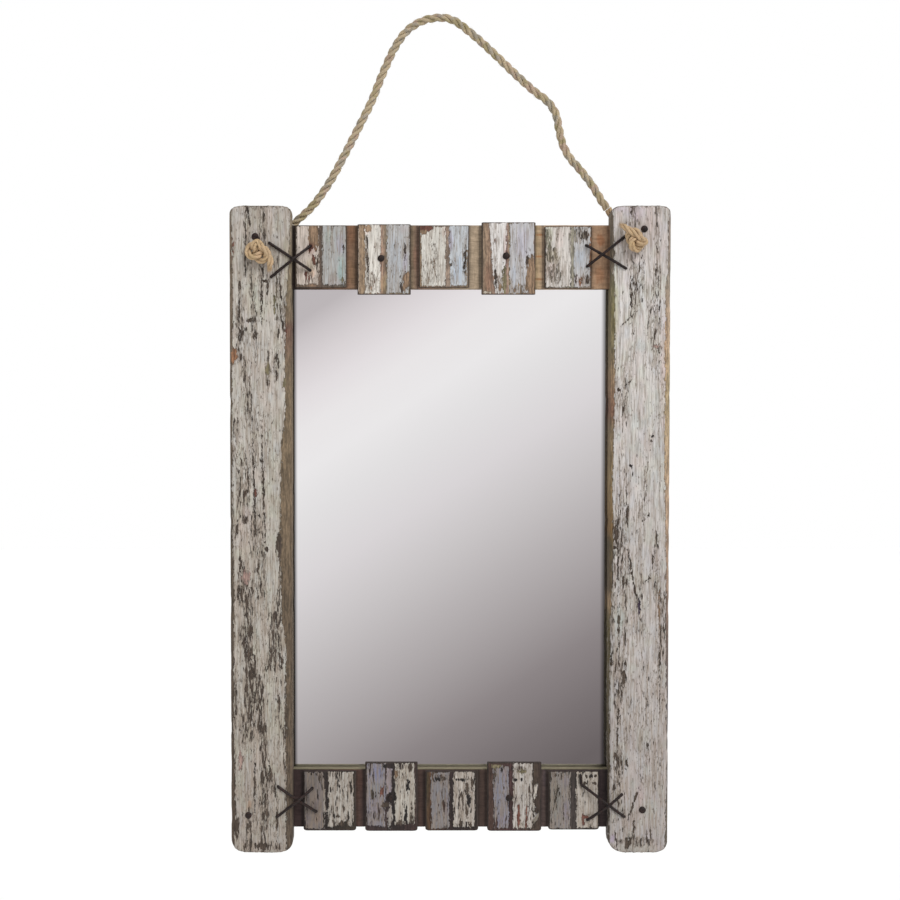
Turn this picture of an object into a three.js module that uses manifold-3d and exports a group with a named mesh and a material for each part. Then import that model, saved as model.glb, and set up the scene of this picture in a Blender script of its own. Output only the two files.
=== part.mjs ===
// A wall mirror made of old shutter wood. Two posts carry a board across the top and one across the bottom,
// five louvre slats lie on the front of each board, crossed wires lace the four corners, and a rope knotted
// on the front of both posts hangs the mirror from a hook.
//
// Millimetres, +Z up. The mirror faces -Y and the wall is the plane Y = 0. The origin is the hook: the point
// on the wall under the top of the rope.

import * as THREE from "three";
import { mergeVertices } from "three/addons/utils/BufferGeometryUtils.js";
import Module from "manifold-3d";

// ---------------------------------------------------------------------------------- driving dimensions

const GAP = 0.3; // between two pieces that touch
const HOLE_END_ROOM = 1; // free depth past the end of what sits in a hole

// Posts
const POST_WIDTH = 56;
const POST_DEPTH = 36;
const POST_HEIGHT = 600;
const POST_EDGE_ROUND = 4; // worn front edges
const OPENING_WIDTH = 294; // from post to post

// Boards of the rails, tenoned into the posts
const BOARD_THICKNESS = 12;
const BOARD_SETBACK = 13; // the boards' front lies this far behind the posts' front
const TENON_LENGTH = 46;
const TENON_THICKNESS = 8;
const TOP_BOARD_HEIGHT = 59;
const TOP_BOARD_DROP = 17.5; // below the posts' tops
const BOTTOM_BOARD_HEIGHT = 55;
const BOTTOM_BOARD_RISE = 20; // above the posts' feet

// Slats
const SLAT_SPACING = 9.8; // between the slats of an even row, which fill the opening
const SLAT_THICKNESS = 5;
const LONG_SLAT_THICKNESS = 6.5;
const SLAT_EDGE_ROUND = 1.8;

// Glass, and what holds it
const REBATE_WIDTH = 8; // cut into each post's inner back edge
const GLASS_THICKNESS = 3;
const GLASS_COVER = 9; // the glass reaches this far behind each board
const GLASS_PLAY = 1; // free space at the glass's sides and top
const PANEL_THICKNESS = 3;
const BATTEN_HEIGHT = 34;

// Turn buttons, and the screws that they swing on
const BUTTON_WIDTH = 12;
const BUTTON_TAIL = 7; // from the pivot to the short end
const BUTTON_REACH = 27; // from the pivot to the long end
const BUTTON_THICKNESS = 1.5;
const BUTTON_PIVOT_FROM_GLASS = 16; // from the edge of the batten next to the glass
const BUTTON_FROM_CENTRE = 80;
const PIVOT_SHANK_RADIUS = 2;
const PIVOT_HEAD_RADIUS = 3.8;
const PIVOT_HEAD_HEIGHT = 1.4;
const PIVOT_SHANK_LENGTH = 8;
const SCREW_TIP_LENGTH = 3;

// Countersunk screws through the battens
const BATTEN_SCREW_RADIUS = 1.7;
const BATTEN_SCREW_HEAD_RADIUS = 3.6;
const BATTEN_SCREW_HEAD_DEPTH = 2;
const BATTEN_SCREW_LENGTH = 13;
const BATTEN_SCREW_FROM_END = 30; // the outer ones, from the batten's ends

// Nails
const NAIL_RADIUS = 1.5;
const NAIL_HEAD_RADIUS = 3.2;
const NAIL_HEAD_HEIGHT = 1.3;
const NAIL_TIP_LENGTH = 3;
const POST_NAIL_LENGTH = 27;
const SLAT_NAIL_LENGTH = 14;

// Lacing wires
const WIRE_DIAMETER = 2.2;
const WIRE_BEND_RADIUS = 2.4;
const WIRE_HOLE_ROOM = 0.8; // around the wire, worn by its bend
const WIRE_CROSSING_ROOM = 0.8; // between two crossed wires
const WIRE_DEPTH_IN_POST = 9.5;
const WIRE_DEPTH_IN_SLAT = 11.5;

// Rope
const ROPE_DIAMETER = 7.5;
const ROPE_BEND_RADIUS = 15; // where it turns from the hole into the groove behind the post
const ROPE_FROM_WALL = 4.6; // its centre line in the groove
const KNOT_RADIUS = 11.8;
const KNOT_HEIGHT = 16;
const HOOK_FROM_CENTRE = -6;
const HOOK_ABOVE_POSTS = 171.6;

// Worn corners of the posts, as radii of their front view.
const POST_CORNERS = {
  left: { footOuter: 13, footInner: 12, topInner: 8, topOuter: 8 },
  right: { footOuter: 11, footInner: 14, topInner: 9, topOuter: 7 },
};

// Slats from left to right. wider and drift: than in an even row. above and below: how far the ends reach
// past the board's edges. nail: from the slat's and the board's middle, on the long slats.
const TOP_SLATS = [
  { wider: -1.3, drift: -2.1, above: -0.3, below: -0.7 },
  { wider: 0.9, drift: -2.8, above: 0.7, below: 5.8, nail: { x: -2.9, z: -1.6 } },
  { wider: -1.8, drift: -6.2, above: -0.3, below: -0.7 },
  { wider: 1.4, drift: -5.4, above: 2.5, below: 5.8, nail: { x: -2.3, z: 0.7 } },
  { wider: -4.7, drift: -9.0, above: -1.2, below: 0.2 },
];
const BOTTOM_SLATS = [
  { wider: 1.0, drift: 5.1, above: -1.0, below: 2.6 },
  { wider: 0.7, drift: 3.9, above: 7.5, below: 2.6, nail: { x: -0.4, z: 1.5 } },
  { wider: 1.2, drift: 1.6, above: -1.0, below: 2.6 },
  { wider: 2.2, drift: 1.2, above: 7.5, below: 2.6, nail: { x: -4.9, z: 1.5 } },
  { wider: -0.8, drift: -2.0, above: -1.0, below: 1.7 },
];

// Corners. in: from the post's inner edge into the post. out: from that edge onto the rail. up: from the
// board's middle. Each wire goes from the post to the slat, and b crosses over a.
const CORNERS = {
  top_left: {
    nail: { in: 33.3, up: 18.1 },
    wires: {
      a: { post: { in: 20.4, up: 12.2 }, slat: { out: 17.2, up: -12.6 } },
      b: { post: { in: 18.7, up: -19.0 }, slat: { out: 17.3, up: 9.9 } },
    },
  },
  top_right: {
    nail: { in: 31.0, up: 25.0 },
    wires: {
      a: { post: { in: 14.1, up: -11.2 }, slat: { out: 21.9, up: 10.4 } },
      b: { post: { in: 12.6, up: 17.7 }, slat: { out: 20.9, up: -8.9 } },
    },
  },
  bottom_left: {
    nail: { in: 41.0, up: -13.5 },
    wires: {
      a: { post: { in: 13.4, up: 13.6 }, slat: { out: 21.9, up: -11.6 } },
      b: { post: { in: 14.8, up: -14.7 }, slat: { out: 18.2, up: 10.3 } },
    },
  },
  bottom_right: {
    nail: { in: 31.7, up: -8.5 },
    wires: {
      a: { post: { in: 15.2, up: -14.7 }, slat: { out: 25.4, up: 22.6 }, bend: { out: 25.0, up: 14.5 } },
      b: { post: { in: 12.6, up: 6.1 }, slat: { out: 18.7, up: -19.5 } },
    },
  },
};

// The rope's holes in the posts, and where it leaves each post's inner edge. in: as above. down: from the
// posts' tops.
const ROPE_ENDS = {
  left: { in: 29.7, down: 42.1, exitDown: 15.7 },
  right: { in: 23.2, down: 32.1, exitDown: 1.1 },
};

// The free rope between its exits: x from the mirror's middle, y from the wall, z from the posts' tops.
const ROPE_ROUTE = [
  [-140.3, -4.6, -9.7],
  [-128.6, -4.7, 1.5],
  [-113.1, -4.9, 22.8],
  [-97.7, -5.2, 50.7],
  [-84.2, -5.5, 76.7],
  [-73.4, -5.8, 98.5],
  [-62.7, -6.1, 124.8],
  [-51.5, -6.5, 148.5],
  [-40.3, -6.8, 163.7],
  [-25.5, -7.0, 172.9],
  [-9.6, -7.0, 175.7],
  [2.5, -7.0, 173.4],
  [18.9, -6.8, 161.8],
  [38.8, -6.5, 144.3],
  [60.3, -6.2, 123.9],
  [78.0, -5.9, 108.2],
  [91.1, -5.7, 98.0],
  [98.2, -5.5, 87.4],
  [101.5, -5.3, 73.0],
  [104.9, -5.2, 59.1],
  [110.8, -5.0, 47.6],
  [122.6, -4.8, 33.8],
  [133.4, -4.7, 19.6],
  [141.6, -4.6, 6.3],
];

// How finely round things are faceted
const BORE_SIDES = 12;
const WIRE_BORE_SIDES = 8;
const NAIL_SIDES = 12;
const SCREW_SIDES = 12;
const PIVOT_SIDES = 16;
const WIRE_SIDES = 6;
const WIRE_STEPS = 36;
const ROPE_SIDES = 10;
const ROPE_STEPS = 34;
const HELD_ROPE_STEPS = 12; // where a post holds it
const ROPE_BORE_SIDES = 16;
const KNOT_SIDES = 16;
const KNOT_RINGS = 8;

// --------------------------------------------------------------------------------------- derived places

const halfOpening = OPENING_WIDTH / 2;
const postFront = -POST_DEPTH;
const boardFront = postFront + BOARD_SETBACK;
const boardBack = boardFront + BOARD_THICKNESS;
const slatBack = boardFront - GAP;
const slatFront = slatBack - SLAT_THICKNESS;
const glassFront = boardBack + GAP;
const glassBack = glassFront + GLASS_THICKNESS;
const panelFront = glassBack + GAP;
const panelBack = panelFront + PANEL_THICKNESS;
const battenFront = glassFront;
const battenBack = panelBack;
const buttonFront = battenBack + GAP;
const buttonBack = buttonFront + BUTTON_THICKNESS;

const topBoard = { top: POST_HEIGHT - TOP_BOARD_DROP, height: TOP_BOARD_HEIGHT };
const bottomBoard = { top: BOTTOM_BOARD_RISE + BOTTOM_BOARD_HEIGHT, height: BOTTOM_BOARD_HEIGHT };
for (const board of [topBoard, bottomBoard]) {
  board.bottom = board.top - board.height;
  board.middle = board.top - board.height / 2;
}

const glassBottom = bottomBoard.top - GLASS_COVER;
const glassTop = topBoard.bottom + GLASS_COVER;
const glassHalfWidth = halfOpening + REBATE_WIDTH - GLASS_PLAY;
const lowerBattenTop = glassBottom - GAP;
const upperBattenBottom = glassTop + GLASS_PLAY;

const battenHalfLength = halfOpening + REBATE_WIDTH - GAP;

const SIDES = { left: -1, right: 1 };

// -------------------------------------------------------------------------------------------- modelling

const wasm = await Module();
wasm.setup();

/** A closed geometry as a solid that can be joined and cut. */
function solid(geometry) {
  const bare = geometry.clone();
  bare.deleteAttribute("normal");
  bare.deleteAttribute("uv");
  const merged = mergeVertices(bare, 1e-4);
  return new wasm.Manifold(
    new wasm.Mesh({
      numProp: 3,
      vertProperties: merged.attributes.position.array,
      triVerts: new Uint32Array(merged.index.array),
    }),
  );
}

/** The surface of a solid, flat-shaded. */
function surface(body) {
  const { vertProperties, triVerts } = body.getMesh();
  const shared = new THREE.BufferGeometry();
  shared.setAttribute("position", new THREE.BufferAttribute(vertProperties, 3));
  shared.setIndex(new THREE.BufferAttribute(triVerts, 1));
  const geometry = shared.toNonIndexed();
  geometry.computeVertexNormals();
  return geometry;
}

/** One solid less all the others. */
const cut = (body, tools) => tools.reduce((left, tool) => left.subtract(tool), body);

/** A block between any two opposite corners. */
function block([x0, y0, z0], [x1, y1, z1]) {
  const box = new THREE.BoxGeometry(Math.abs(x1 - x0), Math.abs(y1 - y0), Math.abs(z1 - z0));
  return box.translate((x0 + x1) / 2, (y0 + y1) / 2, (z0 + z1) / 2);
}

/** A front view with four rounded corners, counter-clockwise from the low right one. */
function roundedOutline([x0, z0], [x1, z1], [lowRight, highRight, highLeft, lowLeft]) {
  const outline = new THREE.Shape();
  outline.absarc(x1 - lowRight, z0 + lowRight, lowRight, -Math.PI / 2, 0, false);
  outline.absarc(x1 - highRight, z1 - highRight, highRight, 0, Math.PI / 2, false);
  outline.absarc(x0 + highLeft, z1 - highLeft, highLeft, Math.PI / 2, Math.PI, false);
  outline.absarc(x0 + lowLeft, z0 + lowLeft, lowLeft, Math.PI, Math.PI * 1.5, false);
  return outline;
}

/** A round bore along Y, which also cuts a little in front of where it starts. */
function bore({ x, z }, radius, yFrom, yTo, sides = BORE_SIDES) {
  const mouth = yFrom - 1;
  const rod = new THREE.CylinderGeometry(radius, radius, yTo - mouth, sides);
  return solid(rod.translate(x, (mouth + yTo) / 2, z));
}

/** A front view, x across and y up, made solid from yBack forward to yFront. */
function extrudeForward(shape, yBack, yFront, options = {}) {
  const geometry = new THREE.ExtrudeGeometry(shape, {
    depth: yBack - yFront,
    bevelEnabled: false,
    curveSegments: 5,
    ...options,
  });
  return geometry.rotateX(Math.PI / 2).translate(0, yBack, 0);
}

/** A shape turned about the Y axis from half of its section, given as [radius, y] from low to high y. */
function turned(profile, sides) {
  const points = profile.map(([radius, y]) => new THREE.Vector2(radius, y));
  return new THREE.LatheGeometry(points, sides);
}

/** The half section of a domed head, up from its rim. */
const domedHead = (radius, height) => [
  [radius, 0],
  [radius * 0.88, height * 0.72],
  [radius * 0.48, height],
  [0, height],
];

/** The half section of a round shank, from its pointed end up to under its head. */
const pointedShank = (radius, length, tip) => [
  [0, -length],
  [radius, tip - length],
  [radius, 0],
];

/** A path of straight stretches through the points, with its corners rounded. */
function bentPath(points, radius) {
  const mostOfLeg = 0.45; // that a corner may take
  const path = new THREE.CurvePath();
  let from = points[0];
  for (let i = 1; i < points.length - 1; i++) {
    const corner = points[i];
    const back = points[i - 1].clone().sub(corner);
    const ahead = points[i + 1].clone().sub(corner);
    const reach = Math.min(radius, back.length() * mostOfLeg, ahead.length() * mostOfLeg);
    const start = corner.clone().add(back.setLength(reach));
    const end = corner.clone().add(ahead.setLength(reach));
    path.add(new THREE.LineCurve3(from, start));
    path.add(new THREE.QuadraticBezierCurve3(start, corner, end));
    from = end;
  }
  path.add(new THREE.LineCurve3(from, points.at(-1)));
  return path;
}

/** A round rod along a path. */
function rodAlong(path, diameter, sides, steps) {
  const section = new THREE.Shape();
  for (let i = 0; i < sides; i++) {
    const angle = (i / sides) * 2 * Math.PI;
    const point = [(diameter / 2) * Math.cos(angle), (diameter / 2) * Math.sin(angle)];
    if (i === 0) section.moveTo(...point);
    else section.lineTo(...point);
  }
  return new THREE.ExtrudeGeometry(section, { steps, extrudePath: path });
}

// ---------------------------------------------------------------------------------------------- finishes

const finish = (color, roughness, metalness = 0) =>
  new THREE.MeshStandardMaterial({ color, roughness, metalness });
const flakedPaint = () => finish(0xb9b2a6, 0.85);
const bareWood = () => finish(0x7d6450, 0.9);
const slatPaint = () => finish(0xc2c3c0, 0.85);
const rawBatten = () => finish(0xa88a63, 0.9);
const rustyIron = () => finish(0x33251f, 0.75, 0.6);
const jute = () => finish(0x9a8358, 0.95);
const silvered = () => finish(0xd5d5d5, 0.03, 1);
const hardboard = () => finish(0x6d4b32, 0.85);
const zincedSteel = () => finish(0xa2a19a, 0.45, 0.9);

// ----------------------------------------------------------------------------------------- places of joints

/** Where the rope goes through a post, and where it comes out of the post's inner edge behind. */
function ropeEnd(side) {
  const end = ROPE_ENDS[side];
  const sign = SIDES[side];
  const hole = new THREE.Vector3(sign * (halfOpening + end.in), -ROPE_FROM_WALL, POST_HEIGHT - end.down);
  const exit = new THREE.Vector3(sign * halfOpening, -ROPE_FROM_WALL, POST_HEIGHT - end.exitDown);
  return { hole, exit, along: exit.clone().sub(hole).normalize() };
}

/** A corner's nail and wire ends, as places in the mirror's own frame. */
function cornerPlaces(corner) {
  const [row, side] = corner.split("_");
  const board = row === "top" ? topBoard : bottomBoard;
  const sign = SIDES[side];
  const onPost = (place) => ({ x: sign * (halfOpening + place.in), z: board.middle + place.up });
  const onRail = (place) => ({ x: sign * (halfOpening - place.out), z: board.middle + place.up });
  const { nail, wires } = CORNERS[corner];
  return { row, side, sign, nail: onPost(nail), onPost, onRail, wires };
}

const CORNER_NAMES = Object.keys(CORNERS);
const corners = Object.fromEntries(CORNER_NAMES.map((name) => [name, cornerPlaces(name)]));

/** The slats of one rail with their edges worked out. */
function placeSlats(slats, board) {
  const pitch = OPENING_WIDTH / slats.length;
  return slats.map(({ wider, drift, above, below, nail }, i) => {
    const middle = -halfOpening + (i + 0.5) * pitch + drift;
    const width = pitch - SLAT_SPACING + wider;
    return {
      left: middle - width / 2,
      right: middle + width / 2,
      top: board.top + above,
      bottom: board.bottom - below,
      thickness: nail ? LONG_SLAT_THICKNESS : SLAT_THICKNESS,
      nail: nail && { x: middle + nail.x, z: board.middle + nail.z },
    };
  });
}

const rails = {
  top: { board: topBoard, slats: placeSlats(TOP_SLATS, topBoard) },
  bottom: { board: bottomBoard, slats: placeSlats(BOTTOM_SLATS, bottomBoard) },
};

const battens = {
  upper: { bottom: upperBattenBottom, pivot: upperBattenBottom + BUTTON_PIVOT_FROM_GLASS, points: "down" },
  lower: {
    bottom: lowerBattenTop - BATTEN_HEIGHT,
    pivot: lowerBattenTop - BUTTON_PIVOT_FROM_GLASS,
    points: "up",
  },
};
const outerScrew = battenHalfLength - BATTEN_SCREW_FROM_END;
const screwPlaces = ({ bottom }) =>
  [-outerScrew, 0, outerScrew].map((x) => ({ x, z: bottom + BATTEN_HEIGHT / 2 }));

// ------------------------------------------------------------------------------------------------- cutting

/** The hole through a post for the rope, and the groove behind it that leads the rope to the inner edge. */
function ropeChannel(side) {
  const { hole, exit, along } = ropeEnd(side);
  const half = ROPE_DIAMETER / 2 + GAP;
  const floor = -ROPE_FROM_WALL - half;
  const bendStart = -ROPE_FROM_WALL - ROPE_BEND_RADIUS;
  const behindWall = 2;
  const past = hole.distanceTo(exit) + ROPE_DIAMETER * 2;
  const groove = new THREE.Shape();
  groove.moveTo(-half, behindWall);
  groove.lineTo(-half, bendStart);
  groove.lineTo(half, bendStart);
  groove.absarc(ROPE_BEND_RADIUS, bendStart, ROPE_BEND_RADIUS - half, Math.PI, Math.PI / 2, true);
  groove.lineTo(past, floor);
  groove.lineTo(past, behindWall);
  const slot = new THREE.ExtrudeGeometry(groove, { depth: 2 * half, bevelEnabled: false, curveSegments: 5 });
  slot.translate(0, 0, -half);
  const across = new THREE.Vector3(-along.z, 0, along.x);
  slot.applyMatrix4(new THREE.Matrix4().makeBasis(along, new THREE.Vector3(0, 1, 0), across));
  slot.translate(hole.x, 0, hole.z);
  return solid(slot).add(bore(hole, half, postFront, bendStart + half, ROPE_BORE_SIDES));
}

const QUARTER_CIRCLE_PULL = 0.5523; // of the radius: where a cubic curve's handles make it a quarter circle

/** The path of the rope from the middle of its knot to the inner edge of the post. */
function ropeThroughPost(side) {
  const { hole, exit, along } = ropeEnd(side);
  const knot = new THREE.Vector3(hole.x, postFront - KNOT_HEIGHT / 2, hole.z);
  const bendStart = new THREE.Vector3(hole.x, -ROPE_FROM_WALL - ROPE_BEND_RADIUS, hole.z);
  const bendEnd = hole.clone().addScaledVector(along, ROPE_BEND_RADIUS);
  const pull = ROPE_BEND_RADIUS * QUARTER_CIRCLE_PULL;
  const path = new THREE.CurvePath();
  path.add(new THREE.LineCurve3(knot, bendStart));
  path.add(
    new THREE.CubicBezierCurve3(
      bendStart,
      bendStart.clone().add(new THREE.Vector3(0, pull, 0)),
      bendEnd.clone().addScaledVector(along, -pull),
      bendEnd,
    ),
  );
  path.add(new THREE.LineCurve3(bendEnd, exit.clone().addScaledVector(along, -GAP)));
  return path;
}

const ropeChannels = { left: ropeChannel("left"), right: ropeChannel("right") };
const postNailBore = ({ nail }) =>
  bore(nail, NAIL_RADIUS + GAP, postFront, postFront + POST_NAIL_LENGTH + HOLE_END_ROOM);
const slatFrontOf = (slat) => slatBack - slat.thickness;
const slatNailBore = (slat) => {
  const front = slatFrontOf(slat);
  return bore(slat.nail, NAIL_RADIUS + GAP, front, front + SLAT_NAIL_LENGTH + HOLE_END_ROOM);
};
const wireBoreRadius = WIRE_DIAMETER / 2 + WIRE_HOLE_ROOM;

/** The bores in a post, or in a rail, for the wires of one corner. */
function wireBores(corner, where) {
  const { wires, onPost, onRail } = corners[corner];
  return Object.values(wires).map(({ post, slat }) => {
    const place = where === "post" ? onPost(post) : onRail(slat);
    const front = where === "post" ? postFront : slatFront;
    const depth = where === "post" ? WIRE_DEPTH_IN_POST : WIRE_DEPTH_IN_SLAT;
    return bore(place, wireBoreRadius, front, front + depth + HOLE_END_ROOM, WIRE_BORE_SIDES);
  });
}

// ----------------------------------------------------------------------------------------------- the pieces

const mirror = new THREE.Group();

/** Adds a piece to the mirror. shape is a geometry in its own place, or a solid. */
function add(name, shape, material, place) {
  const mesh = new THREE.Mesh(shape.getMesh ? surface(shape) : shape, material);
  mesh.name = name;
  if (place) mesh.position.set(...place);
  mirror.add(mesh);
  return mesh;
}

/** A post: rounded front edges and corners, a rebate for the glass, two mortises, and its holes. */
function addPost(side) {
  const x = (inward) => SIDES[side] * (halfOpening + inward);
  const { footOuter, footInner, topInner, topOuter } = POST_CORNERS[side];
  const outline =
    side === "left"
      ? roundedOutline([x(POST_WIDTH), 0], [x(0), POST_HEIGHT], [footInner, topInner, topOuter, footOuter])
      : roundedOutline([x(0), 0], [x(POST_WIDTH), POST_HEIGHT], [footOuter, topOuter, topInner, footInner]);
  const blank = extrudeForward(outline, POST_EDGE_ROUND, postFront + POST_EDGE_ROUND, {
    bevelEnabled: true,
    bevelThickness: POST_EDGE_ROUND,
    bevelSize: POST_EDGE_ROUND,
    bevelOffset: -POST_EDGE_ROUND,
    bevelSegments: 3,
    curveSegments: 4,
  });
  const clear = POST_EDGE_ROUND * 3;
  const behindWall = block([x(-clear), 0, -clear], [x(POST_WIDTH + clear), clear, POST_HEIGHT + clear]);
  const rebate = block([x(-clear), boardBack, -clear], [x(REBATE_WIDTH), clear, POST_HEIGHT + clear]);
  const mortises = [topBoard, bottomBoard].map((board) =>
    block(
      [x(-clear), boardFront - GAP, board.bottom - GAP],
      [x(TENON_LENGTH + GAP), boardFront + TENON_THICKNESS + GAP, board.top + GAP],
    ),
  );
  const here = CORNER_NAMES.filter((name) => corners[name].side === side);
  const post = cut(solid(blank), [
    ...[behindWall, rebate, ...mortises].map(solid),
    ropeChannels[side],
    ...here.map((name) => postNailBore(corners[name])),
    ...here.flatMap((name) => wireBores(name, "post")),
  ]);
  add(`${side}_post`, post, flakedPaint());
}

/** A rail's board, with a tenon of less thickness at each end. */
function addBoard(row) {
  const { board, slats } = rails[row];
  const shoulder = halfOpening - GAP;
  const body = block([-shoulder, boardFront, board.bottom], [shoulder, boardBack, board.top]);
  const tenonEnd = halfOpening + TENON_LENGTH;
  const tenons = block(
    [-tenonEnd, boardFront, board.bottom],
    [tenonEnd, boardFront + TENON_THICKNESS, board.top],
  );
  const batten = row === "top" ? battens.upper : battens.lower;
  const here = CORNER_NAMES.filter((name) => corners[name].row === row);
  const screwEnd = battenBack - BATTEN_SCREW_LENGTH;
  const tools = [
    ...here.map((name) => postNailBore(corners[name])),
    ...here.flatMap((name) => wireBores(name, "rail")),
    ...slats.filter((slat) => slat.nail).map(slatNailBore),
    ...screwPlaces(batten).map((place) => bore(place, BATTEN_SCREW_RADIUS + GAP, screwEnd, glassFront)),
  ];
  if (row === "top") tools.push(ropeChannels.left, ropeChannels.right);
  add(`${row}_rail_board`, cut(solid(body).add(solid(tenons)), tools), bareWood());
}

/** The slats of one rail: flat behind, with rounded long edges in front. */
function addSlats(row) {
  const last = rails[row].slats.length - 1;
  rails[row].slats.forEach((slat, i) => {
    const { left, right, thickness } = slat;
    const section = new THREE.Shape();
    section.moveTo(left, 0);
    section.lineTo(left, -thickness + SLAT_EDGE_ROUND);
    section.quadraticCurveTo(left, -thickness, left + SLAT_EDGE_ROUND, -thickness);
    section.lineTo(right - SLAT_EDGE_ROUND, -thickness);
    section.quadraticCurveTo(right, -thickness, right, -thickness + SLAT_EDGE_ROUND);
    section.lineTo(right, 0);
    const options = { depth: slat.top - slat.bottom, bevelEnabled: false, curveSegments: 4 };
    const blank = new THREE.ExtrudeGeometry(section, options).translate(0, slatBack, slat.bottom);
    const tools = slat.nail ? [slatNailBore(slat)] : [];
    if (i === 0) tools.push(...wireBores(`${row}_left`, "rail"));
    if (i === last) tools.push(...wireBores(`${row}_right`, "rail"));
    add(`${row}_slat_${i + 1}`, cut(solid(blank), tools), slatPaint());
  });
}

/** A nail driven in from the front, with its head on the surface. */
function addNail(name, place, front, length) {
  const shank = pointedShank(NAIL_RADIUS, length, NAIL_TIP_LENGTH);
  const nail = turned([...shank, ...domedHead(NAIL_HEAD_RADIUS, NAIL_HEAD_HEIGHT)], NAIL_SIDES);
  add(name, nail, rustyIron(), [place.x, front - GAP, place.z]).rotation.x = Math.PI;
}

/** Where the two wires of a corner cross in front view, as shares of the way from post to rail. */
function crossing(corner) {
  const { wires, onPost, onRail } = corners[corner];
  const [a, b] = ["a", "b"].map((letter) => {
    const from = onPost(wires[letter].post);
    const to = onRail(wires[letter].bend ?? wires[letter].slat);
    return { from, dx: to.x - from.x, dz: to.z - from.z };
  });
  const [x, z] = [b.from.x - a.from.x, b.from.z - a.from.z];
  const turn = a.dx * b.dz - a.dz * b.dx;
  return { a: (x * b.dz - z * b.dx) / turn, b: (x * a.dz - z * a.dx) / turn };
}

/** A wire from its bore in the post, over the post's edge, to its bore in the slat. b crosses over a. */
function addWire(corner, letter) {
  const { sign, wires, onPost, onRail } = corners[corner];
  const { post, slat, bend } = wires[letter];
  const at = (place, y) => new THREE.Vector3(place.x, y, place.z);
  const clearance = WIRE_DIAMETER / 2 + GAP;
  const postBore = onPost(post);
  const slatBore = onRail(slat);
  const onPostFace = at(postBore, postFront - clearance);
  const landing = at(bend ? onRail(bend) : slatBore, slatFront - clearance);
  const along = (share) => onPostFace.clone().lerp(landing, share);

  // The lower wire bears on the post's edge. The upper one bears on the lower one.
  const edge = along((post.in - WIRE_BEND_RADIUS / 2) / Math.abs(landing.x - onPostFace.x));
  edge.y = onPostFace.y;
  let bearing = edge;
  if (letter === "b") {
    const cross = crossing(corner);
    bearing = along(cross.b);
    const lower = wires.a;
    const lowerEnd = onRail(lower.bend ?? lower.slat);
    const lowerX = onPost(lower.post).x + (lowerEnd.x - onPost(lower.post).x) * cross.a;
    const lowerEdge = sign * (halfOpening + WIRE_BEND_RADIUS / 2);
    const fall = Math.max(0, (lowerX - lowerEdge) / (lowerEnd.x - lowerEdge));
    bearing.y = onPostFace.y + (landing.y - onPostFace.y) * fall - WIRE_DIAMETER - WIRE_CROSSING_ROOM;
  }
  const points = [
    at(postBore, postFront + WIRE_DEPTH_IN_POST),
    onPostFace,
    bearing,
    ...(bend ? [landing] : []),
    at(slatBore, slatFront - clearance),
    at(slatBore, slatFront + WIRE_DEPTH_IN_SLAT),
  ];
  const wire = rodAlong(bentPath(points, WIRE_BEND_RADIUS), WIRE_DIAMETER, WIRE_SIDES, WIRE_STEPS);
  add(`lacing_wire_${corner}_${letter}`, wire, rustyIron());
}

/** The part of the rope that a post holds, with the knot on its front end. */
function addKnot(side) {
  const { hole } = ropeEnd(side);
  const half = KNOT_HEIGHT / 2;
  const profile = [];
  for (let i = 0; i <= KNOT_RINGS; i++) {
    const angle = -Math.PI / 2 + (i / KNOT_RINGS) * Math.PI;
    const onAxis = i === 0 || i === KNOT_RINGS;
    profile.push([onAxis ? 0 : KNOT_RADIUS * Math.cos(angle), half * Math.sin(angle)]);
  }
  const knot = turned(profile, KNOT_SIDES).translate(hole.x, postFront - GAP - half, hole.z);
  const rope = rodAlong(ropeThroughPost(side), ROPE_DIAMETER, ROPE_SIDES, HELD_ROPE_STEPS);
  add(`rope_knot_${side}`, solid(knot).add(solid(rope)), jute());
}

/** The free rope from one post to the other, over the hook. */
function addRope() {
  const route = ROPE_ROUTE.map(([x, y, z]) => new THREE.Vector3(x, y, POST_HEIGHT + z));
  const path = new THREE.CatmullRomCurve3([ropeEnd("left").exit, ...route, ropeEnd("right").exit]);
  add("hanging_rope", rodAlong(path, ROPE_DIAMETER, ROPE_SIDES, ROPE_STEPS), jute());
}

/** The mirror glass and its back panel, in the posts' rebates and between the battens. */
function addGlass() {
  const width = 2 * glassHalfWidth;
  const height = glassTop - glassBottom;
  const middle = (glassTop + glassBottom) / 2;
  const glass = new THREE.BoxGeometry(width, GLASS_THICKNESS, height);
  add("mirror_glass", glass, silvered(), [0, (glassFront + glassBack) / 2, middle]);
  const panel = new THREE.BoxGeometry(width, PANEL_THICKNESS, height);
  add("back_panel", panel, hardboard(), [0, (panelFront + panelBack) / 2, middle]);
}

/** A batten behind a rail, with countersunk screws into the rail's board. */
function addBatten(name) {
  const batten = battens[name];
  const body = block(
    [-battenHalfLength, battenFront, batten.bottom],
    [battenHalfLength, battenBack, batten.bottom + BATTEN_HEIGHT],
  );
  const places = screwPlaces(batten);
  const sinks = places.map(({ x, z }) => countersink().translate(x, battenBack, z));
  const pivotBores = Object.values(SIDES).map((sign) => {
    const place = { x: sign * BUTTON_FROM_CENTRE, z: batten.pivot };
    return bore(place, PIVOT_SHANK_RADIUS + GAP, battenFront, buttonFront);
  });
  add(`${name}_batten`, cut(solid(body), [...sinks.map(solid), ...pivotBores]), rawBatten());
  ["left", "middle", "right"].forEach((where, i) => {
    const { x, z } = places[i];
    add(`batten_screw_${name}_${where}`, countersunkScrew(), zincedSteel(), [x, battenBack, z]);
  });
}

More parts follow.
